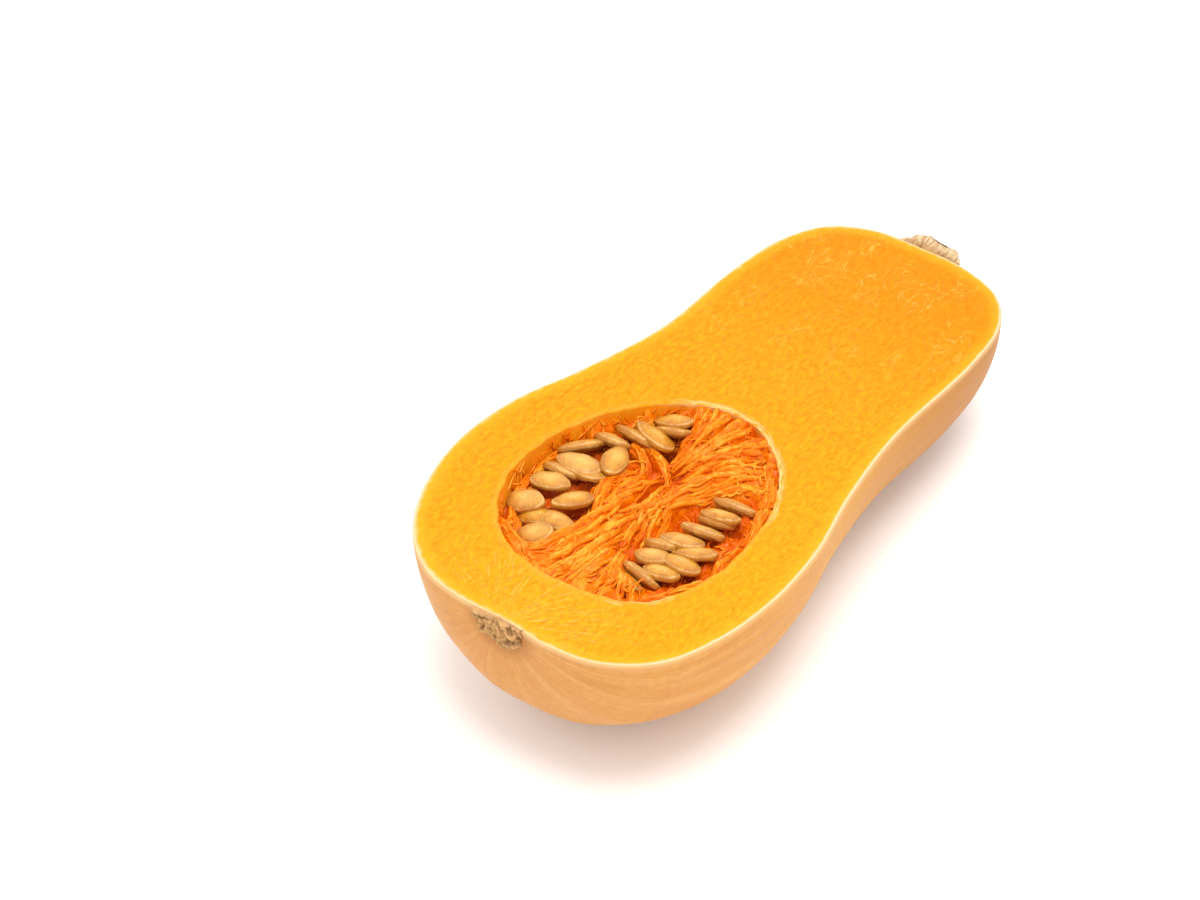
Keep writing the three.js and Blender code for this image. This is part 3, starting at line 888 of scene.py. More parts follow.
# Bundles of strands: three places each bundle passes, its spread at each, its number of strands,
# their thickness, and how much the bundle is crowned.
BUNDLES = (
    # the fan from the heart to the stem side
    ((96, 8, -11), (110, 10, -6.5), (122, 13, -1.6), (2, 4, 6), 16, 1.5, 1.2),
    ((96, 7, -10.5), (110, 5, -4.5), (122, 5, -1.5), (2, 4, 6), 18, 1.6, 1.4),
    ((95, 6, -10), (110, -1, -4), (121, -4, -1.5), (2, 4, 7), 20, 1.7, 1.4),
    ((94, 4, -9.5), (108, -6, -4.5), (118, -13, -1.8), (2, 5, 7), 18, 1.6, 1.3),
    ((92, 2, -9), (104, -9, -5), (112, -21, -2.2), (3, 5, 7), 16, 1.5, 1.2),
    # the broad tongue beside the near seeds, and the short bundle that closes it
    ((76, -3, -8), (90, -9, -5.5), (107, -25, -3.2), (4, 8, 8), 34, 1.4, 1.6),
    ((86, -8, -8), (98, -19, -5.5), (99, -31, -3.2), (5, 6, 6), 16, 1.2, 0.8),
    # the ridge from the heart towards the blossom end
    ((95, 5, -10.5), (80, 1, -6.5), (62, 2, -5.5), (3, 5, 5), 26, 1.3, 1.5),
    ((74, 0, -7.5), (63, -2, -7), (54, -4, -7.5), (5, 6, 5), 18, 1.2, 1.2),
    ((84, -2, -9), (72, -6, -7.5), (60, -9, -7.5), (4, 6, 6), 18, 1.1, 1.0),
    # the long parallel bundles of the blossom side
    ((73, 6, -5.8), (55, 8, -4), (33, 13, -2.4), (4, 6, 5), 24, 1.5, 1.3),
    ((70, 2, -6), (50, 3, -3.6), (29, 7, -2.2), (4, 6, 6), 28, 1.5, 1.6),
    ((64, 0, -7), (46, -1, -4.2), (28, 1, -2.2), (4, 5, 5), 18, 1.4, 1.2),
    # the fan of the near blossom side
    ((56, -4, -7), (41, -5, -4.4), (28, -6, -2), (4, 5, 6), 16, 1.3, 1.2),
    ((54, -7, -7.5), (40, -12, -4.4), (28, -15, -2), (3, 6, 8), 20, 1.3, 1.2),
    ((50, -10, -7.5), (40, -19, -5), (30, -25, -2.6), (3, 6, 8), 16, 1.2, 1.0),
    # pulp between the far seeds and the heart
    ((94, 9, -10), (82, 11, -8), (68, 10, -7), (4, 7, 7), 22, 1.2, 1.2),
    ((62, 12, -8), (50, 12, -6), (36, 18, -4), (4, 6, 6), 16, 1.2, 0.8),
    ((91, 15, -8), (79, 18, -5.8), (63, 12, -6), (3, 6, 5), 20, 1.2, 1.0),
    # ribbons round the far seeds
    ((100, 22, -5.5), (99, 14, -7), (94, 6, -9.5), (2, 3, 2), 8, 1.3, 0.6),
    ((95, 21, -5), (91, 13, -6.8), (82, 13, -8.6), (1.5, 2, 3), 7, 1.2, 0.5),
    ((66, 39, -6), (52, 34, -5.5), (40, 25, -5), (1.5, 2, 3), 9, 1.2, 0.5),
    ((84, 38, -7.5), (68, 38, -6.6), (50, 31, -7.5), (1.5, 2, 3), 8, 1.2, 0.5),
    # the far wall and the stem corner
    ((98, 35, -3), (95, 34, -6), (92, 31, -9), (6, 5, 4), 9, 1.0, 0.4),
    ((110, 27, -2.5), (107, 26, -6), (104, 25, -9), (7, 6, 4), 12, 1.1, 0.5),
    ((121, 17, -2), (115, 21, -3.2), (104, 28, -4), (5, 4, 3), 18, 1.1, 0.8),
    ((40, 30, -4), (36, 22, -4.4), (30, 12, -3), (3, 4, 4), 14, 1.1, 0.8),
    # the near margin
    ((36, -29, -3), (48, -37, -3.4), (62, -39.5, -3.2), (3, 4, 4), 20, 1.0, 0.8),
    ((62, -38, -3.6), (76, -37.5, -3.6), (90, -34, -3.2), (3, 4, 4), 20, 1.0, 0.8),
    ((90, -34, -3.4), (99, -29, -4), (108, -23, -3), (3, 4, 4), 14, 1.0, 0.8),
)

# Pockets between the bundles: (x, y, reach, depth).
POCKETS = (
    (94, 3.5, 4.5, 3.5), (56, -5.5, 4, 5), (65, -5.5, 4.5, 5), (104.5, 11, 3.5, 4),
    (80, -31, 4, 2.5), (89.5, 11, 3.5, 2.5), (88, -11, 3.5, 2.5), (36, 13, 3, 2.5),
)


def seed_turn(heading, pitch, lean):
    """The turn of a seed, given in degrees."""
    return Euler([math.radians(a) for a in (lean, pitch, heading)]).to_matrix()


def laid(seeds):
    """Each seed as its middle, its three axes (along, across and up) and its length."""
    return [
        ((x, y, -depth), np.array(seed_turn(heading, pitch, lean)).T, length)
        for x, y, depth, heading, pitch, lean, length in seeds
    ]


def over_seed(seed, x, y):
    """How far spots are from the middle of a seed, as a share of its reach, and its height there."""
    middle, (along, across, up), length = seed
    dx, dy = x - middle[0], y - middle[1]
    dz = -(up[0] * dx + up[1] * dy) / up[2]
    far = (along[0] * dx + along[1] * dy + along[2] * dz) * 2 / length
    wide = (across[0] * dx + across[1] * dy + across[2] * dz) * 2 / (length * SEED_WIDTH)
    return np.hypot(far, wide), middle[2] + dz


def nested(x, y, height, seeds):
    """Presses the pulp down where the seeds lie in it."""
    for seed in seeds:
        gap, level = over_seed(seed, x, y)
        pressed = level - SEED_BED_GAP + 9 * np.clip((gap - 0.8) / 0.7, 0, 1) ** 1.5
        height = np.where(gap < 1.5, np.minimum(height, pressed), height)
    return height


def bundle_line(bundle, shares):
    """Places along the middle of a bundle, and its half width at each."""
    first, middle, last, spread = (np.array(row, float) for row in bundle[:4])
    t = np.asarray(shares, float)[:, None]
    line = (1 - t) * (1 - 2 * t) * first + 4 * t * (1 - t) * middle + t * (2 * t - 1) * last
    return line, np.interp(t[:, 0], (0, 0.5, 1), spread / 2)


def bundle_relief(x, y, base, ridge):
    """Raises the bed of pulp into the bundles, with clumps and fibres that run along each.

    It gives the heights, and how far each spot is up the side of its fibre, from 0 to 1.
    """
    top, ridge = base.copy(), ridge.copy()
    for number, bundle in enumerate(BUNDLES):
        line, half = bundle_line(bundle, np.linspace(0, 1, BUNDLE_SPOTS))
        run = np.gradient(line[:, :2], axis=0)
        run /= np.linalg.norm(run, axis=1)[:, None]
        gaps = np.hypot(x[:, None] - line[:, 0], y[:, None] - line[:, 1])
        close = gaps.argmin(axis=1)
        edge = gaps.min(axis=1) / (half[close] + BUNDLE_FRINGE)
        near = np.flatnonzero(edge < 1.25)
        close, edge, px, py = close[near], edge[near], x[near], y[near]
        dx, dy = px - line[close, 0], py - line[close, 1]
        off = dy * run[close, 0] - dx * run[close, 1]
        length = np.linalg.norm(line[-1] - line[0])
        on = close / (BUNDLE_SPOTS - 1) * length + dx * run[close, 0] + dy * run[close, 1]
        flow = np.stack([off, on * 0.25, np.full(len(near), number * 3.7)], axis=1)
        sway = 0.9 * ripple(flow, 5.0, number + 20, 2)
        grain = np.stack([off + sway, on * 0.085, flow[:, 2]], axis=1)
        clumps, fibre = ridged(grain, CLUMP_SIZE, number), rounded(grain, FIBRE_SIZE, number + 50)
        fine = rounded(grain * (1, 1.7, 1), FINE_SIZE, number + 90)
        rise = CLUMP_RISE * clumps + FIBRE_RISE * fibre + FINE_RISE * fine
        crown = BUNDLE_CROWN * bundle[6] * np.clip(1 - edge**2, 0, 1)
        height = line[close, 2] - BUNDLE_SINK + crown + rise
        cover = np.clip((1.15 - edge + 0.25 * sway) / 0.4, 0, 1)
        height = lerp(base[near], height, cover)
        higher = height > top[near]
        top[near] = np.where(higher, height, top[near])
        ridge[near] = np.where(higher, 0.4 * clumps + 0.4 * fibre + 0.2 * fine, ridge[near])
    return top, ridge


def bed_piece(seeds):
    """The bed of pulp: a closed body with folds and fibres that run to its heart."""
    deselect()
    rows = BED_ROWS + UNDER_ROWS
    bpy.ops.mesh.primitive_uv_sphere_add(segments=BED_COLUMNS, ring_count=rows, radius=1)
    piece = start("pulp_bed")
    ball = points_of(piece.data)
    ring = np.round(np.arccos(np.clip(ball[:, 2], -1, 1)) / np.pi * rows).astype(int)
    angle = np.arctan2(ball[:, 1], ball[:, 0])
    reaches = {round(a, 4): wall_reach(a) for a in set(angle.tolist())}
    reach = np.array([reaches[round(a, 4)] for a in angle.tolist()])
    share = np.minimum(1.0, ring / BED_ROWS)
    x = HEART_X + np.cos(angle) * reach * share
    y = HEART_Y + np.sin(angle) * reach * share
    flat = np.stack([x, y, 0 * x], axis=1)
    base = np.array([bed_height(a, s) for a, s in zip(angle.tolist(), share.tolist())])
    swell = np.sin(np.pi * share) ** 0.6

    # Fibres run to the heart, but sway more and more as they come near to it.
    sway = np.stack([ripple(flat, 9, 1), ripple(flat, 9, 2), 0 * x], axis=1)
    way = np.stack([np.cos(angle), np.sin(angle), 0 * x], axis=1) + 0.16 * sway
    long = np.stack([way[:, 0] * 10, way[:, 1] * 10, share * 2.2], axis=1)
    fibre = rounded(long, 1.0, 1) * 1.5 + rounded(long * (2.6, 2.6, 1.6), 1.0, 2) * 0.8
    lumps = ripple(flat, 4.5, 5, 3)
    top = base + (0.3 + swell) * (fibre - 0.6) * np.minimum(1, 3 * share)
    top += (0.3 + swell) * 1.4 * lumps
    top -= 1.4 * np.clip(np.sin(np.pi * share), 0, 1) ** 0.5 * np.clip(2.2 * (1 - share), 0, 1)
    top, ridge = bundle_relief(x, y, top, 0.45 * fibre / 2.3)
    # The pockets are sunk, and their lower crest value gives them painted shade.
    for px, py, room, depth in POCKETS:
        dent = np.exp(-((x - px) ** 2 + (y - py) ** 2) / room**2)
        top, ridge = top - depth * dent, ridge * (1 - 0.8 * dent)
    top = np.minimum(nested(x, y, top, seeds), BED_TOP)

    # The last top ring is pressed into the wall, and the rows below it follow the bowl.
    under = np.clip((ring - BED_ROWS) / UNDER_ROWS, 0, 1)
    deep = np.clip(-top / HOLLOW_DEEP, 0, 0.9)
    shrink = np.where(ring == BED_ROWS, np.sqrt(1 - deep**2) + 0.016, 1)
    co = np.stack([x, y, top], axis=1)
    rim = ring >= BED_ROWS
    centre = np.array([HOLLOW_X, HOLLOW_Y])
    co[rim, :2] = centre + (co[rim, :2] - centre) * shrink[rim, None]
    low = ring > BED_ROWS
    lean = lerp(np.arcsin(np.clip(-base / HOLLOW_DEEP, 0, 0.9)) + 0.04, np.pi / 2, under)
    co[low, :2] = centre + (flat[low, :2] - centre) * 0.985 * np.cos(lean[low])[:, None]
    co[low, 2] = -HOLLOW_DEEP * 0.98 * np.sin(lean[low])
    set_points(piece.data, co)
    # The crest value sets the pulp's painted light and shade: fibre tops lit, the underside against
    # the wall dark.
    set_values(piece.data, "crest", np.where(low, 0.1, np.clip(1.5 * ridge - 0.4, 0, 1)))
    set_values(piece.data, "tint", 0.5 + 0.4 * ripple(flat, 14, 8))
    set_values(piece.data, "along", share)
    return piece


def height_finder(piece):
    """A function that tells the height of the pulp at a spot of the cut face."""
    co, share = points_of(piece.data), values_of(piece.data, "along")
    tops = co[share < 1]
    tree = kdtree.KDTree(len(tops))
    for number, (x, y, z) in enumerate(tops):
        tree.insert((x, y, 0), number)
    tree.balance()
    veiled = laid(VEILED_SEEDS)

    def height(x, y):
        z = float(np.mean([tops[number][2] for _, number, _ in tree.find_n((x, y, 0), 6)]))
        for seed in veiled:
            gap, level = over_seed(seed, x, y)
            z = max(z, level + SEED_VEIL - 1.6 * gap**2) if gap < 1.4 else z
        return z

    return height


def clear_of_seeds(path, seeds, room):
    """Tells whether a path passes beside or below every seed."""
    for seed in seeds:
        for x, y, z, *_ in path:
            gap, level = over_seed(seed, x, y)
            if gap < room and z > level - 1.2:
                return False
    return True


def in_bowl(x, y, z, room):
    """Tells whether a place is inside the hollow's wall by some room."""
    way = math.atan2(y - HOLLOW_Y, x - HOLLOW_X)
    reach = hollow_reach(way) * math.sqrt(max(0, 1 - (z / HOLLOW_DEEP) ** 2))
    return math.hypot(x - HOLLOW_X, y - HOLLOW_Y) < reach - room


def bundle_paths(dice, bundle, share, slim, height, seeds):
    """Crinkled strands of one bundle, half sunk in the bed, with ragged ends."""
    count, thick = round(bundle[4] * share), bundle[5]
    paths = []
    for _ in range(count * 3):
        if len(paths) >= count:
            break
        place = dice.uniform(-1.1, 1.1)
        begin, end = dice.uniform(-0.05, 0.3), dice.uniform(0.75, 1.04)
        if dice.random() < TORN_SHARE:
            begin = dice.uniform(0, 0.65)
            end = min(1.04, begin + dice.uniform(0.3, 0.6))
        drift = place + dice.gauss(0, 0.18)
        width = thick * dice.uniform(0.5, 1.15) * slim
        tall = dice.uniform(0.7, 1.3)
        ride = dice.uniform(-0.35, 0.2) * width
        peel = dice.uniform(0.5, 2.0) if dice.random() < PEELED_SHARE else 0
        line, half = bundle_line(bundle, np.linspace(begin, end, STRAND_STEPS))
        run = np.gradient(line[:, :2], axis=0)
        run /= np.linalg.norm(run, axis=1)[:, None]
        across = half * np.linspace(place, drift, STRAND_STEPS)
        if dice.random() < 0.5:
            line, run, across = line[::-1], run[::-1], across[::-1]
        path = []
        for step in range(STRAND_STEPS):
            x = line[step, 0] - run[step, 1] * across[step]
            y = line[step, 1] + run[step, 0] * across[step]
            sway = noise.noise(Vector((x / 6, y / 6, 1.5))) + dice.gauss(0, 0.08)
            sway *= STRAND_SWAY
            x, y = x - sway * run[step, 1], y + sway * run[step, 0]
            z = height(x, y) + ride + dice.gauss(0, 0.08) + peel * (max(0, step - 4) / 4) ** 2
            size = width * dice.uniform(0.8, 1.25)
            path.append((x, y, min(STRAND_TOP, z), size, size * tall))
        if clear_of_seeds(path, seeds, 0.92) and all(in_bowl(*spot[:3], -0.6) for spot in path):
            paths.append(path)
    return paths


def short_path(dice, x, y, z, heading, length, rise, width):
    """A short strand that curls off from a spot."""
    curl = dice.uniform(-0.9, 0.9)
    path = []
    for step in range(SHORT_STEPS):
        u = step / (SHORT_STEPS - 1)
        turn = heading + curl * u
        path.append((
            x + length * u * math.cos(turn), y + length * u * math.sin(turn),
            min(TORN_TOP, z + length * rise * math.sin(math.pi * 0.6 * u)),
            width * (1 - 0.5 * u), width * (1 - 0.5 * u),
        ))
    return path


def tooth_path(dice, height):
    """A short torn tooth that rises out of a bundle, mostly along its sides."""
    bundle = BUNDLES[dice.randrange(len(BUNDLES))]
    t = dice.random()
    line, half = bundle_line(bundle, (t, t + 0.02))
    run = math.atan2(*(line[1] - line[0])[1::-1])
    edge = dice.choice((-1, 1))
    place = half[0] * dice.uniform(0.1, 1.2) * edge
    x, y = line[0, 0] - place * math.sin(run), line[0, 1] + place * math.cos(run)
    heading = run + edge * dice.uniform(0.05, 0.6) + (math.pi if dice.random() < 0.35 else 0)
    return short_path(
        dice, x, y, height(x, y), heading,
        dice.uniform(1.5, 4.5), dice.uniform(-0.05, 0.5), dice.uniform(0.5, 1.1),
    )


def shred_path(dice, height):
    """A short torn bit that lies on the bed, mostly near a wall."""
    angle = dice.uniform(-math.pi, math.pi)
    reach = wall_reach(angle) * dice.uniform(0.15, 1.0) ** 0.45
    x, y = HEART_X + reach * math.cos(angle), HEART_Y + reach * math.sin(angle)
    return short_path(
        dice, x, y, height(x, y) + 0.1, angle + dice.gauss(math.pi, 0.5),
        dice.uniform(2, 5), dice.uniform(-0.05, 0.35), dice.uniform(0.4, 0.9),
    )


def torn_paths(dice, draw, count, height, seeds):
    """Draws torn bits until enough of them lie clear of the seeds and inside the wall."""
    paths = []
    while len(paths) < count:
        path = draw(dice, height)
        if clear_of_seeds(path, seeds, 1.0) and all(in_bowl(*p[:3], 0.1) for p in path):
            paths.append(path)
    return paths


def wall_paths(dice, count):
    """Threads that climb the wall of the hollow from the bed, in patches."""
    paths = []
    while len(paths) < count:
        angle = dice.uniform(-math.pi, math.pi)
        patch = noise.noise(Vector((2.6 * math.cos(angle), 2.6 * math.sin(angle), 4.0)))
        if patch < dice.uniform(-0.6, 0.3):
            continue
        top, tall = dice.uniform(0.6, 5.0), dice.uniform(2.5, 7)
        slant = dice.gauss(0, 0.09)
        width = dice.uniform(0.5, 1.3)
        path = []
        for step in range(SHORT_STEPS):
            z = -top - tall * (1 - step / (SHORT_STEPS - 1))
            way = angle + slant * step / (SHORT_STEPS - 1)
            reach = hollow_reach(way) * math.sqrt(1 - (z / HOLLOW_DEEP) ** 2) - 0.2 * dice.random()
            path.append((
                HOLLOW_X + reach * math.cos(way), HOLLOW_Y + reach * math.sin(way), z,
                width * (1 - 0.2 * step), width * (1 - 0.2 * step),
            ))
        paths.append(path)
    return paths


class MESH_OT_squash_pulp(bpy.types.Operator):
    """Adds the pulp: its bed, its bundles of strands, and torn teeth and shreds"""

    bl_idname = "mesh.squash_pulp"
    bl_label = "Pulp"
    bl_options = {"REGISTER", "UNDO"}

    def execute(self, context):
        amounts = context.scene.squash_pulp
        dice = random.Random(PULP_DICE)
        bed = bed_piece(laid(FAR_SEEDS + NEAR_SEEDS))
        height = height_finder(bed)
        seeds = laid(seed for seed in FAR_SEEDS + NEAR_SEEDS if seed not in VEILED_SEEDS)
        cords, threads = [], []
        for bundle in BUNDLES:
            cords += bundle_paths(dice, bundle, amounts.cords, 1.0, height, seeds)
            threads += bundle_paths(dice, bundle, amounts.threads, 0.5, height, seeds)
        teeth = torn_paths(dice, tooth_path, amounts.teeth, height, seeds)
        shreds = torn_paths(dice, shred_path, amounts.shreds, height, seeds)
        made = [
            strands("pulp_cords", *CORD_ROD, cords),
            strands("pulp_threads", *THREAD_ROD, threads),
            strands("pulp_teeth", *TORN_ROD, teeth),
            strands("pulp_shreds", *TORN_ROD, shreds),
            strands("pulp_wall", *TORN_ROD, wall_paths(dice, amounts.climbers)),
        ]
        # Strands lie on top of the bed, so their crest value, which sets the pulp's painted light,
        # is high and varied by their tint.
        for piece in made:
            set_values(piece.data, "crest", 0.5 + 0.6 * values_of(piece.data, "tint"))
        for piece in (bed, join(made, "pulp_strands")):
            dress(piece, "pulp")
            settle(piece, "pulp", "pulp")
        return {"FINISHED"}


# ---------------------------------------------------------------- seeds
# Rings of a seed from the middle of one face to its edge: (distance from the middle, height).
SEED_RINGS = (
    (0.0, 1.0), (0.28, 0.97), (0.48, 0.905), (0.64, 0.81), (0.76, 0.69), (0.84, 0.58),
    (0.885, 0.51), (0.93, 0.45), (0.965, 0.35), (0.99, 0.19), (1.0, 0.0),
)
SEED_COLUMNS = 36
SEED_WOBBLE = 0.28  # unevenness of the faces
SEED_VARIETY = 0.07  # how much wider or narrower one seed is than another


def one_seed():
    """Models one seed along x, one unit long, pointed at its far end."""
    deselect()
    rows = 2 * (len(SEED_RINGS) - 1)
    bpy.ops.mesh.primitive_uv_sphere_add(segments=SEED_COLUMNS, ring_count=rows, radius=1)
    piece = start("seed")
    mesh = piece.data
    ball = points_of(mesh)
    ring = np.round(np.arccos(np.clip(ball[:, 2], -1, 1)) / np.pi * rows).astype(int)
    rings = np.array(SEED_RINGS + SEED_RINGS[-2::-1])
    out, high = rings[ring].T
    turn = np.arctan2(ball[:, 1], ball[:, 0])
    x = out * np.cos(turn)
    full = np.sign(np.sin(turn)) * np.abs(np.sin(turn)) ** 0.86
    y = out * full * (1 - SEED_POINT * np.maximum(0, x) ** 1.6)
    z = np.where(ring <= rows // 2, high, -high)
    set_points(mesh, np.stack([x / 2, y / 2, z / 2], axis=1))
    set_values(mesh, "out", out)
    return piece


class MESH_OT_squash_seeds(bpy.types.Operator):
    """Adds one cluster of seeds, each a copy of one seed with its own mesh"""

    bl_idname = "mesh.squash_seeds"
    bl_label = "Seeds"
    bl_options = {"REGISTER", "UNDO"}

    cluster: bpy.props.EnumProperty(
        name="Cluster", description="Which side of the heart the seeds lie on", default="far",
        items=(("far", "Far", "Seeds on the far side"), ("near", "Near", "Seeds on the near side")),
    )

    def execute(self, context):
        thickness = context.scene.squash_seeds.thickness / MM
        seeds = FAR_SEEDS if self.cluster == "far" else NEAR_SEEDS
        model = one_seed()
        copies = []
        for number, (x, y, depth, heading, pitch, lean, length) in enumerate(seeds):
            turn = seed_turn(heading, pitch, lean).to_4x4()
            seed = model.copy()
            seed.data = model.data.copy()
            context.scene.collection.objects.link(seed)
            co = points_of(seed.data) * (length, length * SEED_WIDTH, thickness)
            co[:, 2] += np.sign(co[:, 2]) * SEED_WOBBLE * ripple(co, 4.5, 20 + number, 2)
            wide = 1 + SEED_VARIETY * math.sin(number * 2.4)
            co[:, 1] *= wide + 0.05 * ripple(co, 7, 60 + number, 1)
            set_points(seed.data, co)
            set_values(seed.data, "tint", np.full(len(co), (number * GOLDEN) % 1))
            seed.data.transform(Matrix.Translation((x, y, -depth)) @ turn)
            copies.append(seed)
        bpy.data.objects.remove(model)
        piece = join(copies, f"seeds_{self.cluster}_side")
        dress(piece, "seed")
        settle(piece, "seed", f"seeds_{self.cluster}")
        return {"FINISHED"}


# ---------------------------------------------------------------- scar and stub
KNOB_COLUMNS = 128
KNOB_ROWS = 64
# The knob's profile from root to tip, as shares of (its rows, the way to the tip, the radius).
KNOB_PROFILE = (
    (0, 0, 0), (0.12, 0, 1), (0.45, 0.75, 1), (0.58, 1, 0.93), (0.75, 1, 0.62), (1, 1, 0),
)
KNOB_MARGIN = 0.35  # width of the ring of faces round the cut
DIP_START = 0.1  # how far inside the flesh a root starts to dip below the cut
DIP_DEPTH = 0.7  # how deep it dips at most


def half_knob(name, y, radius, root, face, tip, ridges, waves, lumps, taper, rough):
    """A halved corky knob, from its root in the flesh to its tip, with its cut on z = 0."""
    deselect()
    bpy.ops.mesh.primitive_uv_sphere_add(segments=KNOB_COLUMNS, ring_count=KNOB_ROWS, radius=1)
    piece = start(name)
    mesh = piece.data
    ball = points_of(mesh)
    spin = math.copysign(1, tip - root)
    ring = np.arccos(np.clip(-ball[:, 2], -1, 1)) / np.pi  # 0 at the root, 1 at the tip
    turn = np.arctan2(ball[:, 1], ball[:, 0])
    knots, ways, sizes = np.array(KNOB_PROFILE).T
    way, size = np.interp(ring, knots, ways), np.interp(ring, knots, sizes)
    wave = 1 + waves * np.cos(2 * ridges * turn) + 0.4 * waves * np.sin(11 * turn)
    reach = radius * (1 - taper * way**1.3) * wave * size
    lump = way * lumps * (np.sin(3 * turn + 1) + 0.6 * np.sin(7 * turn + 4 * size))
    x = lerp(root, tip, way) + spin * lump * size
    co = np.stack([x, y + reach * np.cos(turn), spin * reach * np.sin(turn)], axis=1)
    crust = ridged(co, 3.1, 1) + 0.6 * ridged(co, 1.4, 2) + 0.35 * ripple(co, 0.8, 3, 2)
    around = 0.7 * np.cos(turn) * size, spin * 0.7 * np.sin(turn) * size
    out = np.stack([spin * (0.3 + way), *around], axis=1)
    co += out * ((crust - 0.9) * rough * np.minimum(1, 0.2 + way))[:, None]
    set_points(mesh, co)
    set_values(mesh, "crust", np.clip(crust / 1.8, 0, 1))
    with editing():
        bpy.ops.mesh.select_all(action="SELECT")
        bpy.ops.mesh.bisect(plane_co=(0, 0, 0), plane_no=(0, 0, 1), use_fill=True, clear_outer=True)
        bpy.ops.mesh.inset(thickness=KNOB_MARGIN, depth=0)
        bpy.ops.mesh.quads_convert_to_tris()

    # The root of the cut lies just under the cut face of the flesh.
    co = points_of(mesh)
    depth = np.clip((face - co[:, 0]) * spin - DIP_START, 0, DIP_DEPTH)
    co[:, 2] = np.minimum(co[:, 2], -depth)
    set_points(mesh, co)
    outward(piece)
    return piece


class MESH_OT_squash_scar(bpy.types.Operator):
    """Adds the halved corky scar of the blossom end"""

    bl_idname = "mesh.squash_scar"
    bl_label = "Blossom scar"
    bl_options = {"REGISTER", "UNDO"}

    def execute(self, context):
        piece = half_knob(
            "blossom_scar_cork", SCAR_Y, SCAR_RADIUS,
            root=BLOSSOM_X + SCAR_ROOT, face=BLOSSOM_X, tip=BLOSSOM_X - SCAR_STAND,
            ridges=3.5, waves=0.07, lumps=0.7, taper=0.1, rough=0.75,
        )
        dress(piece, "scar")
        settle(piece, "scar_cork", "blossom_scar")
        return {"FINISHED"}


class MESH_OT_squash_stub(bpy.types.Operator):
    """Adds the halved stub of the stem"""

    bl_idname = "mesh.squash_stub"
    bl_label = "Stem stub"
    bl_options = {"REGISTER", "UNDO"}

    def execute(self, context):
        piece = half_knob(
            "stem_stub_cork", STUB_Y, STUB_RADIUS,
            root=STEM_X - STUB_ROOT, face=STEM_X, tip=STEM_X + STUB_STAND,
            ridges=5, waves=0.08, lumps=0.9, taper=0.5, rough=0.8,
        )
        dress(piece, "stub")
        settle(piece, "stem_cork", "stem_stub")
        return {"FINISHED"}


# ---------------------------------------------------------------- materials
def new_group(name, inputs, outputs):
    """A shader node group with named sockets.

    Inputs are given as (name, type, default), and outputs as (name, type).
    """
    tree = bpy.data.node_groups.new(name, "ShaderNodeTree")
    for label, kind, default in inputs:
        socket = tree.interface.new_socket(label, in_out="INPUT", socket_type="NodeSocket" + kind)
        if default is not None:
            socket.default_value = default
    for label, kind in outputs:
        tree.interface.new_socket(label, in_out="OUTPUT", socket_type="NodeSocket" + kind)
    nodes = Nodes(tree)
    return nodes, nodes.add("NodeGroupInput").outputs, nodes.add("NodeGroupOutput").inputs


def mottle_group():
    """Soft patches of two sizes, as a mask from 0 to 1."""
    nodes, given, result = new_group(
        "Squash Mottle",
        (
            ("Place", "Vector", None), ("Scale", "Float", 0.1),
            ("Fine", "Float", 0.35), ("Contrast", "Float", 1.0),
        ),
        (("Mask", "Float"),),
    )
    broad = nodes.noise(given["Place"], given["Scale"], 3, 0.55, 0.4)
    small = nodes.noise(given["Place"], nodes.times(given["Scale"], 5.3), 3, 0.6)
    both = nodes.math("SUBTRACT", nodes.stir(broad, small, given["Fine"]), 0.5)
    nodes.feed(result["Mask"], nodes.math("MULTIPLY_ADD", both, given["Contrast"], 0.5, clamp=True))
    return nodes.tree


def fibre_group():
    """Thin lines where a noise crosses its middle value, broken up into patches."""
    nodes, given, result = new_group(
        "Squash Fibres",
        (
            ("Place", "Vector", None), ("Scale", "Float", 1.0), ("Line", "Float", 0.03),
            ("Patches", "Float", 0.5), ("Bend", "Float", 0.3),
        ),
        (("Mask", "Float"),),
    )
    field = nodes.noise(given["Place"], given["Scale"], 2, 0.55, given["Bend"])
    off = nodes.math("ABSOLUTE", nodes.math("SUBTRACT", field, 0.5))
    line = nodes.spread(off, 0.0, given["Line"], 1.0, 0.0)
    spots = nodes.noise(given["Place"], nodes.times(given["Scale"], 0.43), 2, 0.6)
    shown = nodes.spread(spots, given["Patches"], nodes.math("ADD", given["Patches"], 0.12))
    nodes.feed(result["Mask"], nodes.times(line, shown))
    return nodes.tree


def cork_group():
    """Dry cork: pale crests, dark crevices and fine grain, with a height for bumps."""
    nodes, given, result = new_group(
        "Squash Cork",
        (
            ("Place", "Vector", None), ("Crust", "Float", 0.5),
            ("Pale", "Color", (1, 1, 1, 1)), ("Dark", "Color", (0, 0, 0, 1)),
        ),
        (("Color", "Color"), ("Height", "Float")),
    )
    grain = nodes.noise(given["Place"], 1.9, 4, 0.7, 0.5)
    crests = nodes.stir(given["Crust"], grain, 1.1)
    crests = nodes.math("MULTIPLY_ADD", nodes.cells(given["Place"], 0.75), -0.22, crests)
    color = nodes.mix(nodes.spread(crests, 0.0, 0.62), given["Dark"], given["Pale"])
    nodes.feed(result["Color"], color)
    nodes.feed(result["Height"], crests)
    return nodes.tree


def new_material(name):
    """A material with an empty Principled shader, and its nodes and sockets."""
    material = bpy.data.materials.new("squash " + name)
    material.use_nodes = True
    material.node_tree.nodes.clear()
    nodes = Nodes(material.node_tree)
    shader = nodes.add("ShaderNodeBsdfPrincipled")
    output = nodes.add("ShaderNodeOutputMaterial")
    nodes.feed(output.inputs["Surface"], shader.outputs[0])
    return nodes, shader.inputs


def surface(nodes, shader, color, roughness, bumps):
    """Feeds the colour, the roughness and the bumps, as (height, depth in metres, strength)."""
    nodes.feed(shader["Base Color"], color)
    nodes.feed(shader["Roughness"], roughness)
    nodes.feed(shader["Normal"], nodes.bump(*bumps))


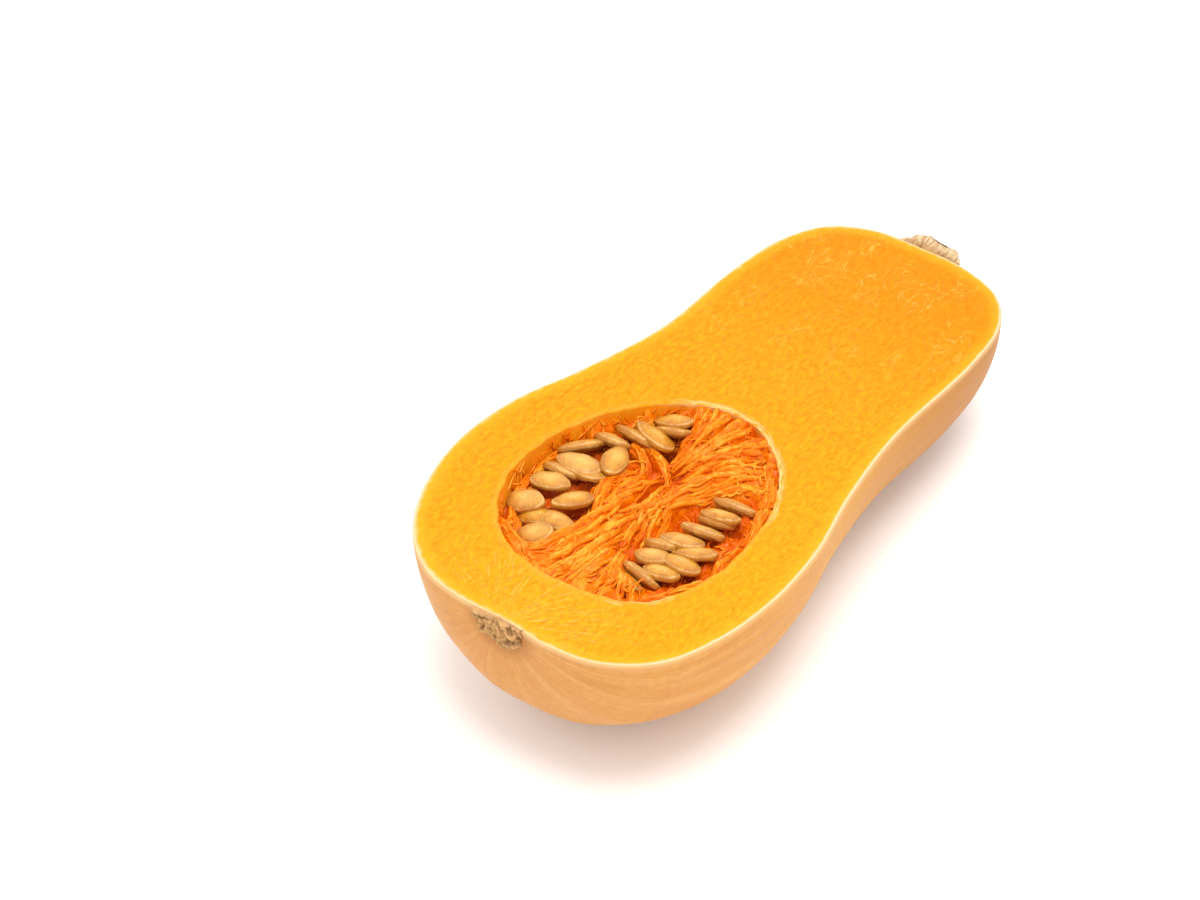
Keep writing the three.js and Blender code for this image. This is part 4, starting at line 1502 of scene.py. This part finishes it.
def soften(shader, weight, reach, scale, specular):
    """Light that enters the surface and comes out again nearby, and the strength of its gloss."""
    shader["Subsurface Weight"].default_value = weight
    shader["Subsurface Radius"].default_value = reach
    shader["Subsurface Scale"].default_value = scale
    shader["Specular IOR Level"].default_value = specular


def rind_material(body, groups):
    nodes, shader = new_material("rind")
    place = nodes.cut_place()
    x, _, z = nodes.apart(place)
    lines = nodes.circle(nodes.value("turn"), 9.0, nodes.times(nodes.value("share"), 2.2))
    streaks = nodes.noise(lines, 1.0, 5, 0.62, 0.6)
    fine = nodes.noise(lines, 3.6, 4, 0.6, 0.3)
    mottle = nodes.mask(groups["mottle"], place, Scale=0.045, Fine=0.6, Contrast=2.8)
    freckles = nodes.mask(groups["mottle"], place, Scale=0.42, Fine=0.8, Contrast=3.0)

    blush = nodes.times(mottle, nodes.spread(x, 95.0, 15.0), 0.6)
    color = nodes.mix(blush, body.rind[:], body.blush[:])
    color = nodes.lay(color, 0xDCA26A, nodes.spread(x, 34.0, 5.0, 0.0, 0.35))
    color = nodes.lay(color, 0xEAB470, nodes.spread(streaks, 0.44, 0.68), 0.5)
    color = nodes.lay(color, 0xC47E3E, nodes.spread(fine, 0.58, 0.36), 0.42)
    # Painted shade of the crease round the blossom scar, broken up by the streaks.
    from_scar = nodes.vector("LENGTH", nodes.vector("SUBTRACT", place, SCAR_MIDDLE))
    scar_crease_shade = nodes.spread(from_scar, SCAR_RADIUS + 6.0, SCAR_RADIUS - 1.0)
    color = nodes.lay(color, 0x9C5A26, scar_crease_shade, streaks)
    color = nodes.lay(color, 0xB0722A, nodes.spread(x, 90.0, 225.0), 0.85)
    color = nodes.lay(color, 0xBA7434, freckles, 0.26)
    # Partly paler skin, partly a painted highlight: the rind is lighter along its top, where it
    # rounds over into the cut.
    color = nodes.lay(color, 0xEEC890, nodes.spread(z, -2.6, -0.4), 0.5)
    height = nodes.math("MULTIPLY_ADD", fine, 0.4, nodes.noise(place, 0.55, 3, 0.6))
    surface(nodes, shader, color, nodes.spread(fine, 0.3, 0.7, 0.42, 0.56), (height, 0.00022, 0.6))
    soften(shader, 0.12, (1.0, 0.5, 0.25), 0.002, 0.14)


def flesh_material(body, groups):
    nodes, shader = new_material("flesh")
    mottle, fibres = groups["mottle"], groups["fibres"]
    place = nodes.cut_place()
    x, y, _ = nodes.apart(place)
    rind_gap, hollow_gap = nodes.value("rind_gap"), nodes.value("hollow_gap")

    # Coordinates round the blossom scar and round the seed hollow, in which fibres run straight.
    from_scar = nodes.vector("SUBTRACT", place, SCAR_MIDDLE)
    fx, fy, fz = nodes.apart(from_scar)
    far_out = nodes.vector("LENGTH", from_scar)
    turn = nodes.math("ARCTAN2", fy, fx)
    fan = nodes.join(nodes.times(turn, 7.0), nodes.times(far_out, 0.022), nodes.times(fz, 0.1))
    hx, hy, _ = nodes.apart(nodes.vector("SUBTRACT", place, (HOLLOW_X, HOLLOW_Y, 0.0)))
    way = nodes.math("ARCTAN2", hy, hx)
    loop = nodes.circle(way, 3.2, nodes.times(hollow_gap, 0.85))

    # Yellow orange at the bulb, orange at the neck.
    broad = nodes.mask(mottle, place, Scale=0.02, Fine=0.25, Contrast=1.6)
    orange = nodes.math("MULTIPLY_ADD", x, 0.0042, nodes.times(y, 0.0045))
    orange = nodes.math("MULTIPLY_ADD", broad, 0.35, orange)
    color = nodes.mix(nodes.spread(orange, 0.15, 0.95), body.bulb_flesh[:], body.flesh[:])

    # Grain of the flesh: flecks drawn out along the squash.
    grain_place = nodes.vector("MULTIPLY", place, (0.55, 1.0, 1.0))
    grain = nodes.mask(mottle, grain_place, Scale=0.9, Fine=0.8, Contrast=2.8)
    color = nodes.lay(color, 0xE46C00, grain, 0.6)
    pale = nodes.mask(mottle, grain_place, Scale=0.65, Fine=0.9, Contrast=2.6)
    color = nodes.lay(color, 0xFFBC18, pale, 0.55)
    color = nodes.lay(color, 0xF57A00, nodes.spread(x, 140.0, 215.0, 0.0, 0.5))

    # Pale veins: a fan from the scar, short curls towards the stem, and tiny ones all over.
    veins = nodes.mask(fibres, fan, Scale=1.7, Line=0.035, Patches=0.4, Bend=0.2)
    color = nodes.lay(color, 0xFCDB8A, nodes.times(veins, nodes.spread(far_out, 50.0, 8.0)), 0.3)
    curls = nodes.mask(fibres, grain_place, Scale=0.17, Line=0.024, Patches=0.45, Bend=1.0)
    color = nodes.lay(color, 0xFFC458, nodes.times(curls, nodes.spread(x, 120.0, 205.0)), 0.5)
    tiny = nodes.mask(fibres, place, Scale=0.42, Line=0.02, Patches=0.53, Bend=0.8)
    color = nodes.lay(color, 0xFDC030, tiny, 0.5)

    # The margin pales towards the rind.
    jitter = nodes.math("MULTIPLY_ADD", nodes.noise(place, 0.25, 3, 0.6), 3.0, -1.5)
    near_side = nodes.spread(y, -12.0, -36.0, 0.0, 0.8)
    gap = nodes.math("ADD", nodes.math("ADD", rind_gap, jitter), near_side)
    color = nodes.lay(color, 0xFBAE20, nodes.spread(gap, 6.5, 1.8, 0.0, 0.65))
    color = nodes.mix(nodes.spread(gap, 2.2, 0.3, 0.0, 0.8), color, body.margin[:])
    color = nodes.lay(color, 0xF2D2A6, nodes.spread(rind_gap, 1.3, 0.3))

    # A rim of pale fibres runs round the hollow, and its wall is a deeper orange.
    rim = nodes.mask(fibres, loop, Scale=2.2, Line=0.16, Patches=0.36, Bend=0.9)
    stem_side = nodes.spread(nodes.math("COSINE", nodes.math("ADD", way, 0.4)), 0.5, 0.8, 0.12, 1.0)
    smear = nodes.spread(nodes.math("COSINE", nodes.math("ADD", way, 2.53)), 0.97, 0.99)
    side = nodes.math("MAXIMUM", stem_side, smear)
    reach = nodes.math("MULTIPLY_ADD", nodes.noise(loop, 1.6, 3, 0.7), 4.5, -0.9)
    close = nodes.times(nodes.spread(nodes.math("SUBTRACT", hollow_gap, reach), 0.6, -0.4), side)
    color = nodes.lay(color, 0xFA9A10, nodes.spread(hollow_gap, 6.0, 0.5, 0.0, 0.3))
    color = nodes.lay(color, 0xFCD88E, nodes.times(rim, close), 0.75)
    wall = nodes.mask(mottle, loop, Scale=1.4, Fine=0.9, Contrast=2.0)
    wall = nodes.mix(wall, tone(0xFF8C08), tone(0xFFA41C))
    color = nodes.mix(nodes.spread(hollow_gap, -0.3, -2.5), color, wall)

    height = nodes.math("MULTIPLY_ADD", rim, close, nodes.noise(place, 1.6, 3, 0.65))
    height = nodes.math("MULTIPLY_ADD", grain, 0.5, height)
    surface(nodes, shader, color, nodes.spread(grain, 0.0, 1.0, 0.5, 0.38), (height, 0.0003, 0.6))
    soften(shader, 0.1, (1.0, 0.4, 0.08), 0.002, 0.05)


def pulp_material(pulp, groups):
    nodes, shader = new_material("pulp")
    place = nodes.cut_place()
    _, _, z = nodes.apart(place)
    from_heart = nodes.vector("SUBTRACT", place, (HEART_X, HEART_Y, 0.0))
    hx, hy, _ = nodes.apart(from_heart)
    out = nodes.times(nodes.vector("LENGTH", from_heart), 0.09)
    lines = nodes.circle(nodes.math("ARCTAN2", hy, hx), 26.0, out)
    fibre = nodes.noise(lines, 1.0, 4, 0.6, 0.4)
    patches = nodes.mask(groups["mottle"], place, Scale=0.14, Fine=0.6, Contrast=2.4)
    specks = nodes.noise(place, 0.9, 3, 0.65, 0.8)
    # The lit value is painted light and shade: the crest value, stirred by fibres, tint, patches and
    # specks.
    lit = nodes.value("crest")
    for field, amount in ((fibre, 0.6), (nodes.value("tint"), 0.15), (patches, 0.4), (specks, 1.1)):
        lit = nodes.stir(lit, field, amount)
    # Painted shade: the deeper the pulp lies in the hollow, the darker it is.
    lit = nodes.math("ADD", lit, nodes.spread(z, -16.0, -6.0, -0.4, 0.04))
    color = nodes.mix(nodes.spread(lit, 0.12, 0.92), pulp.deep[:], pulp.crest[:])
    # Painted highlight: yellow glints on the most lit fibres.
    color = nodes.lay(color, 0xFFBC38, nodes.spread(lit, 0.82, 1.35, 0.0, 0.7))
    height = nodes.math("MULTIPLY_ADD", nodes.noise(place, 1.3, 3, 0.6), 0.5, fibre)
    surface(nodes, shader, color, nodes.spread(patches, 0.0, 1.0, 0.38, 0.2), (height, 0.00015, 0.6))
    nodes.feed(shader["Coat Weight"], nodes.spread(patches, 0.5, 0.9, 0.0, 0.16))
    shader["Coat Roughness"].default_value = 0.18
    soften(shader, 0.12, (1.0, 0.5, 0.15), 0.0008, 0.13)


def seed_material(seeds, groups):
    nodes, shader = new_material("seed")
    place = nodes.cut_place()
    out = nodes.value("out")
    patches = nodes.mask(groups["mottle"], place, Scale=0.22, Fine=0.7, Contrast=2.2)
    fine = nodes.noise(place, 1.1, 4, 0.65, 0.6)
    color = nodes.lay(seeds.hull[:], 0xC27820, patches, 0.7)
    color = nodes.lay(color, 0xF2BC66, nodes.value("tint"), 0.5)
    # Painted shade darkens each seed towards its edge, and a painted highlight lightens its middle.
    shade = nodes.stir(out, patches, 0.4)
    color = nodes.lay(color, 0xAE6414, nodes.spread(shade, 0.5, 1.05, 0.0, 0.6))
    color = nodes.lay(color, 0xF9C260, nodes.spread(shade, 0.55, 0.15, 0.0, 0.55))
    groove = nodes.times(nodes.spread(out, 0.78, 0.86), nodes.spread(out, 0.91, 0.87), 0.15)
    color = nodes.mix(groove, color, seeds.edge[:])
    rim = nodes.times(nodes.spread(out, 0.88, 0.93), nodes.spread(out, 0.995, 0.96))
    color = nodes.lay(color, 0xF6CE84, rim, nodes.spread(patches, 0.15, 0.8, 0.5, 0.1))
    color = nodes.lay(color, 0xB06F2C, nodes.spread(fine, 0.58, 0.74, 0.0, 0.6))
    height = nodes.math("MULTIPLY_ADD", patches, 0.8, fine)
    surface(nodes, shader, color, nodes.spread(fine, 0.3, 0.7, 0.2, 0.36), (height, 0.0003, 0.7))
    shader["Coat Weight"].default_value = 0.2
    shader["Coat Roughness"].default_value = 0.16
    soften(shader, 0.1, (1.0, 0.6, 0.3), 0.0012, 0.25)


def scar_material(cork, groups):
    nodes, shader = new_material("scar")
    place = nodes.cut_place()
    _, _, z = nodes.apart(place)
    crust = nodes.group(
        groups["cork"], Place=place, Crust=nodes.math("ADD", nodes.value("crust"), 0.06),
        Pale=cork.scar[:], Dark=cork.crevice[:],
    )
    pale = nodes.mask(groups["mottle"], place, Scale=0.2, Fine=0.5, Contrast=3.0)
    color = nodes.lay(crust["Color"], 0xEABE80, pale, 0.4)
    color = nodes.lay(color, 0xD8A668, nodes.spread(z, -0.5, -0.05, 0.0, 0.3))
    surface(nodes, shader, color, 0.78, (crust["Height"], 0.0006, 0.8))
    shader["Specular IOR Level"].default_value = 0.3


def stub_material(cork, groups):
    nodes, shader = new_material("stub")
    place = nodes.cut_place()
    _, _, z = nodes.apart(place)
    crust = nodes.group(
        groups["cork"], Place=place, Crust=nodes.value("crust"),
        Pale=tone(0xC8985C), Dark=cork.crevice[:],
    )
    grain = nodes.noise(nodes.vector("MULTIPLY", place, (0.3, 1.6, 1.0)), 1.0, 4, 0.7, 0.5)
    cut = nodes.lay(cork.stub[:], 0xBC8850, nodes.spread(grain, 0.42, 0.62))
    color = nodes.mix(nodes.spread(z, -0.5, -0.05), crust["Color"], cut)
    surface(nodes, shader, color, 0.75, (nodes.math("ADD", crust["Height"], grain), 0.0005, 0.8))
    shader["Specular IOR Level"].default_value = 0.3


def floor_material():
    nodes, shader = new_material("floor")
    place = nodes.add("ShaderNodeTexCoord").outputs["Object"]
    speckle = nodes.noise(place, 900, 2, 0.5)
    nodes.feed(shader["Base Color"], nodes.mix(speckle, (0.92, 0.905, 0.89), (0.965, 0.955, 0.945)))
    shader["Roughness"].default_value = 0.9
    shader["Specular IOR Level"].default_value = 0.1


class MATERIAL_OT_squash_finishes(bpy.types.Operator):
    """Adds the materials of the rind, flesh, pulp, seeds and cork"""

    bl_idname = "material.squash_finishes"
    bl_label = "Finishes"
    bl_options = {"REGISTER", "UNDO"}

    def execute(self, context):
        scene = context.scene
        groups = {"mottle": mottle_group(), "fibres": fibre_group(), "cork": cork_group()}
        rind_material(scene.squash_body, groups)
        flesh_material(scene.squash_body, groups)
        pulp_material(scene.squash_pulp, groups)
        seed_material(scene.squash_seeds, groups)
        scar_material(scene.squash_cork, groups)
        stub_material(scene.squash_cork, groups)
        floor_material()
        return {"FINISHED"}


# ---------------------------------------------------------------- stage
VIEW_TARGET = (83.58, 24.72, 0.0)  # in the cut frame, as are the angles
VIEW_AZIMUTH = math.radians(-141.384)
VIEW_ELEVATION = math.radians(38.241)
VIEW_ROLL = math.radians(-1.994)
VIEW_DISTANCE = 1208.73
KEY_PLACE = (-0.05, -0.35, 1.93)  # of the soft light, in metres in the world
KEY_SIZE = 1.2
KEY_AIM = (0, 0, 0.03)
SENSOR_WIDTH = 36
CLIP_START, CLIP_END = 0.01, 50


def view_matrix():
    """Place and turn of the camera: it stands off the target in the direction of the two angles."""
    a, e = VIEW_AZIMUTH, VIEW_ELEVATION
    back = Vector((math.cos(e) * math.cos(a), math.cos(e) * math.sin(a), math.sin(e)))
    right = Vector((-math.sin(a), math.cos(a), 0))
    turn = Matrix((right, back.cross(right), back)).transposed() @ Matrix.Rotation(VIEW_ROLL, 3, "Z")
    spot = (Vector(VIEW_TARGET) + back * VIEW_DISTANCE) * MM
    return CUT_FRAME @ Matrix.Translation(spot) @ turn.to_4x4()


class OBJECT_OT_squash_stage(bpy.types.Operator):
    """Adds the floor, the soft light and the camera"""

    bl_idname = "object.squash_stage"
    bl_label = "Stage"
    bl_options = {"REGISTER", "UNDO"}

    def execute(self, context):
        scene = context.scene
        stage = scene.squash_stage
        deselect()
        bpy.ops.mesh.primitive_plane_add(size=stage.floor_size, location=(0, 0, 0))
        floor = start("floor")
        floor.data.materials.append(bpy.data.materials["squash floor"])

        bpy.ops.object.light_add(type="AREA", location=KEY_PLACE)
        key = bpy.context.object
        key.name = "key light"
        key.data.shape = "DISK"
        key.data.size = KEY_SIZE
        key.data.energy = stage.key_power
        back = Vector(key.location) - Vector(KEY_AIM)
        key.rotation_euler = back.to_track_quat("Z", "Y").to_euler()

        world = bpy.data.worlds.new("studio")
        world.use_nodes = True
        sky = world.node_tree.nodes["Background"].inputs
        sky["Color"].default_value = (1, 1, 1, 1)
        sky["Strength"].default_value = stage.fill
        scene.world = world
        scene.view_settings.view_transform = "Standard"

        bpy.ops.object.camera_add()
        camera = bpy.context.object
        camera.matrix_world = view_matrix()
        camera.data.lens = stage.lens
        camera.data.sensor_width = SENSOR_WIDTH
        camera.data.clip_start, camera.data.clip_end = CLIP_START, CLIP_END
        scene.camera = camera
        deselect()
        return {"FINISHED"}


class VIEW3D_PT_squash(bpy.types.Panel):
    """Lists the pieces of the squash and their settings"""

    bl_label = "Halved butternut squash"
    bl_idname = "VIEW3D_PT_squash"
    bl_space_type = "VIEW_3D"
    bl_region_type = "UI"
    bl_category = "Squash"

    def draw(self, context):
        layout = self.layout
        for settings, *labels in PANEL_ROWS:
            box = layout.box()
            for label in labels:
                box.operator(label)
            if settings:
                group = getattr(context.scene, settings)
                for name in group.__annotations__:
                    box.prop(group, name)


PANEL_ROWS = (
    (None, "material.squash_finishes"),
    ("squash_body", "mesh.squash_body"),
    ("squash_pulp", "mesh.squash_pulp"),
    ("squash_seeds", "mesh.squash_seeds"),
    ("squash_cork", "mesh.squash_scar", "mesh.squash_stub"),
    ("squash_stage", "object.squash_stage"),
)
SETTINGS = {
    "squash_body": SquashBodySettings,
    "squash_pulp": SquashPulpSettings,
    "squash_seeds": SquashSeedSettings,
    "squash_cork": SquashCorkSettings,
    "squash_stage": SquashStageSettings,
}
CLASSES = (
    *SETTINGS.values(),
    MATERIAL_OT_squash_finishes, MESH_OT_squash_body, MESH_OT_squash_pulp, MESH_OT_squash_seeds,
    MESH_OT_squash_scar, MESH_OT_squash_stub, OBJECT_OT_squash_stage, VIEW3D_PT_squash,
)


def register():
    for made in CLASSES:
        bpy.utils.register_class(made)
    for name, group in SETTINGS.items():
        setattr(bpy.types.Scene, name, bpy.props.PointerProperty(type=group))


def unregister():
    for name in SETTINGS:
        delattr(bpy.types.Scene, name)
    for made in reversed(CLASSES):
        bpy.utils.unregister_class(made)


def main():
    register()
    bpy.ops.material.squash_finishes()
    bpy.ops.mesh.squash_body()
    bpy.ops.mesh.squash_pulp()
    bpy.ops.mesh.squash_seeds(cluster="far")
    bpy.ops.mesh.squash_seeds(cluster="near")
    bpy.ops.mesh.squash_scar()
    bpy.ops.mesh.squash_stub()
    bpy.ops.object.squash_stage()


if __name__ == "__main__":
    main()
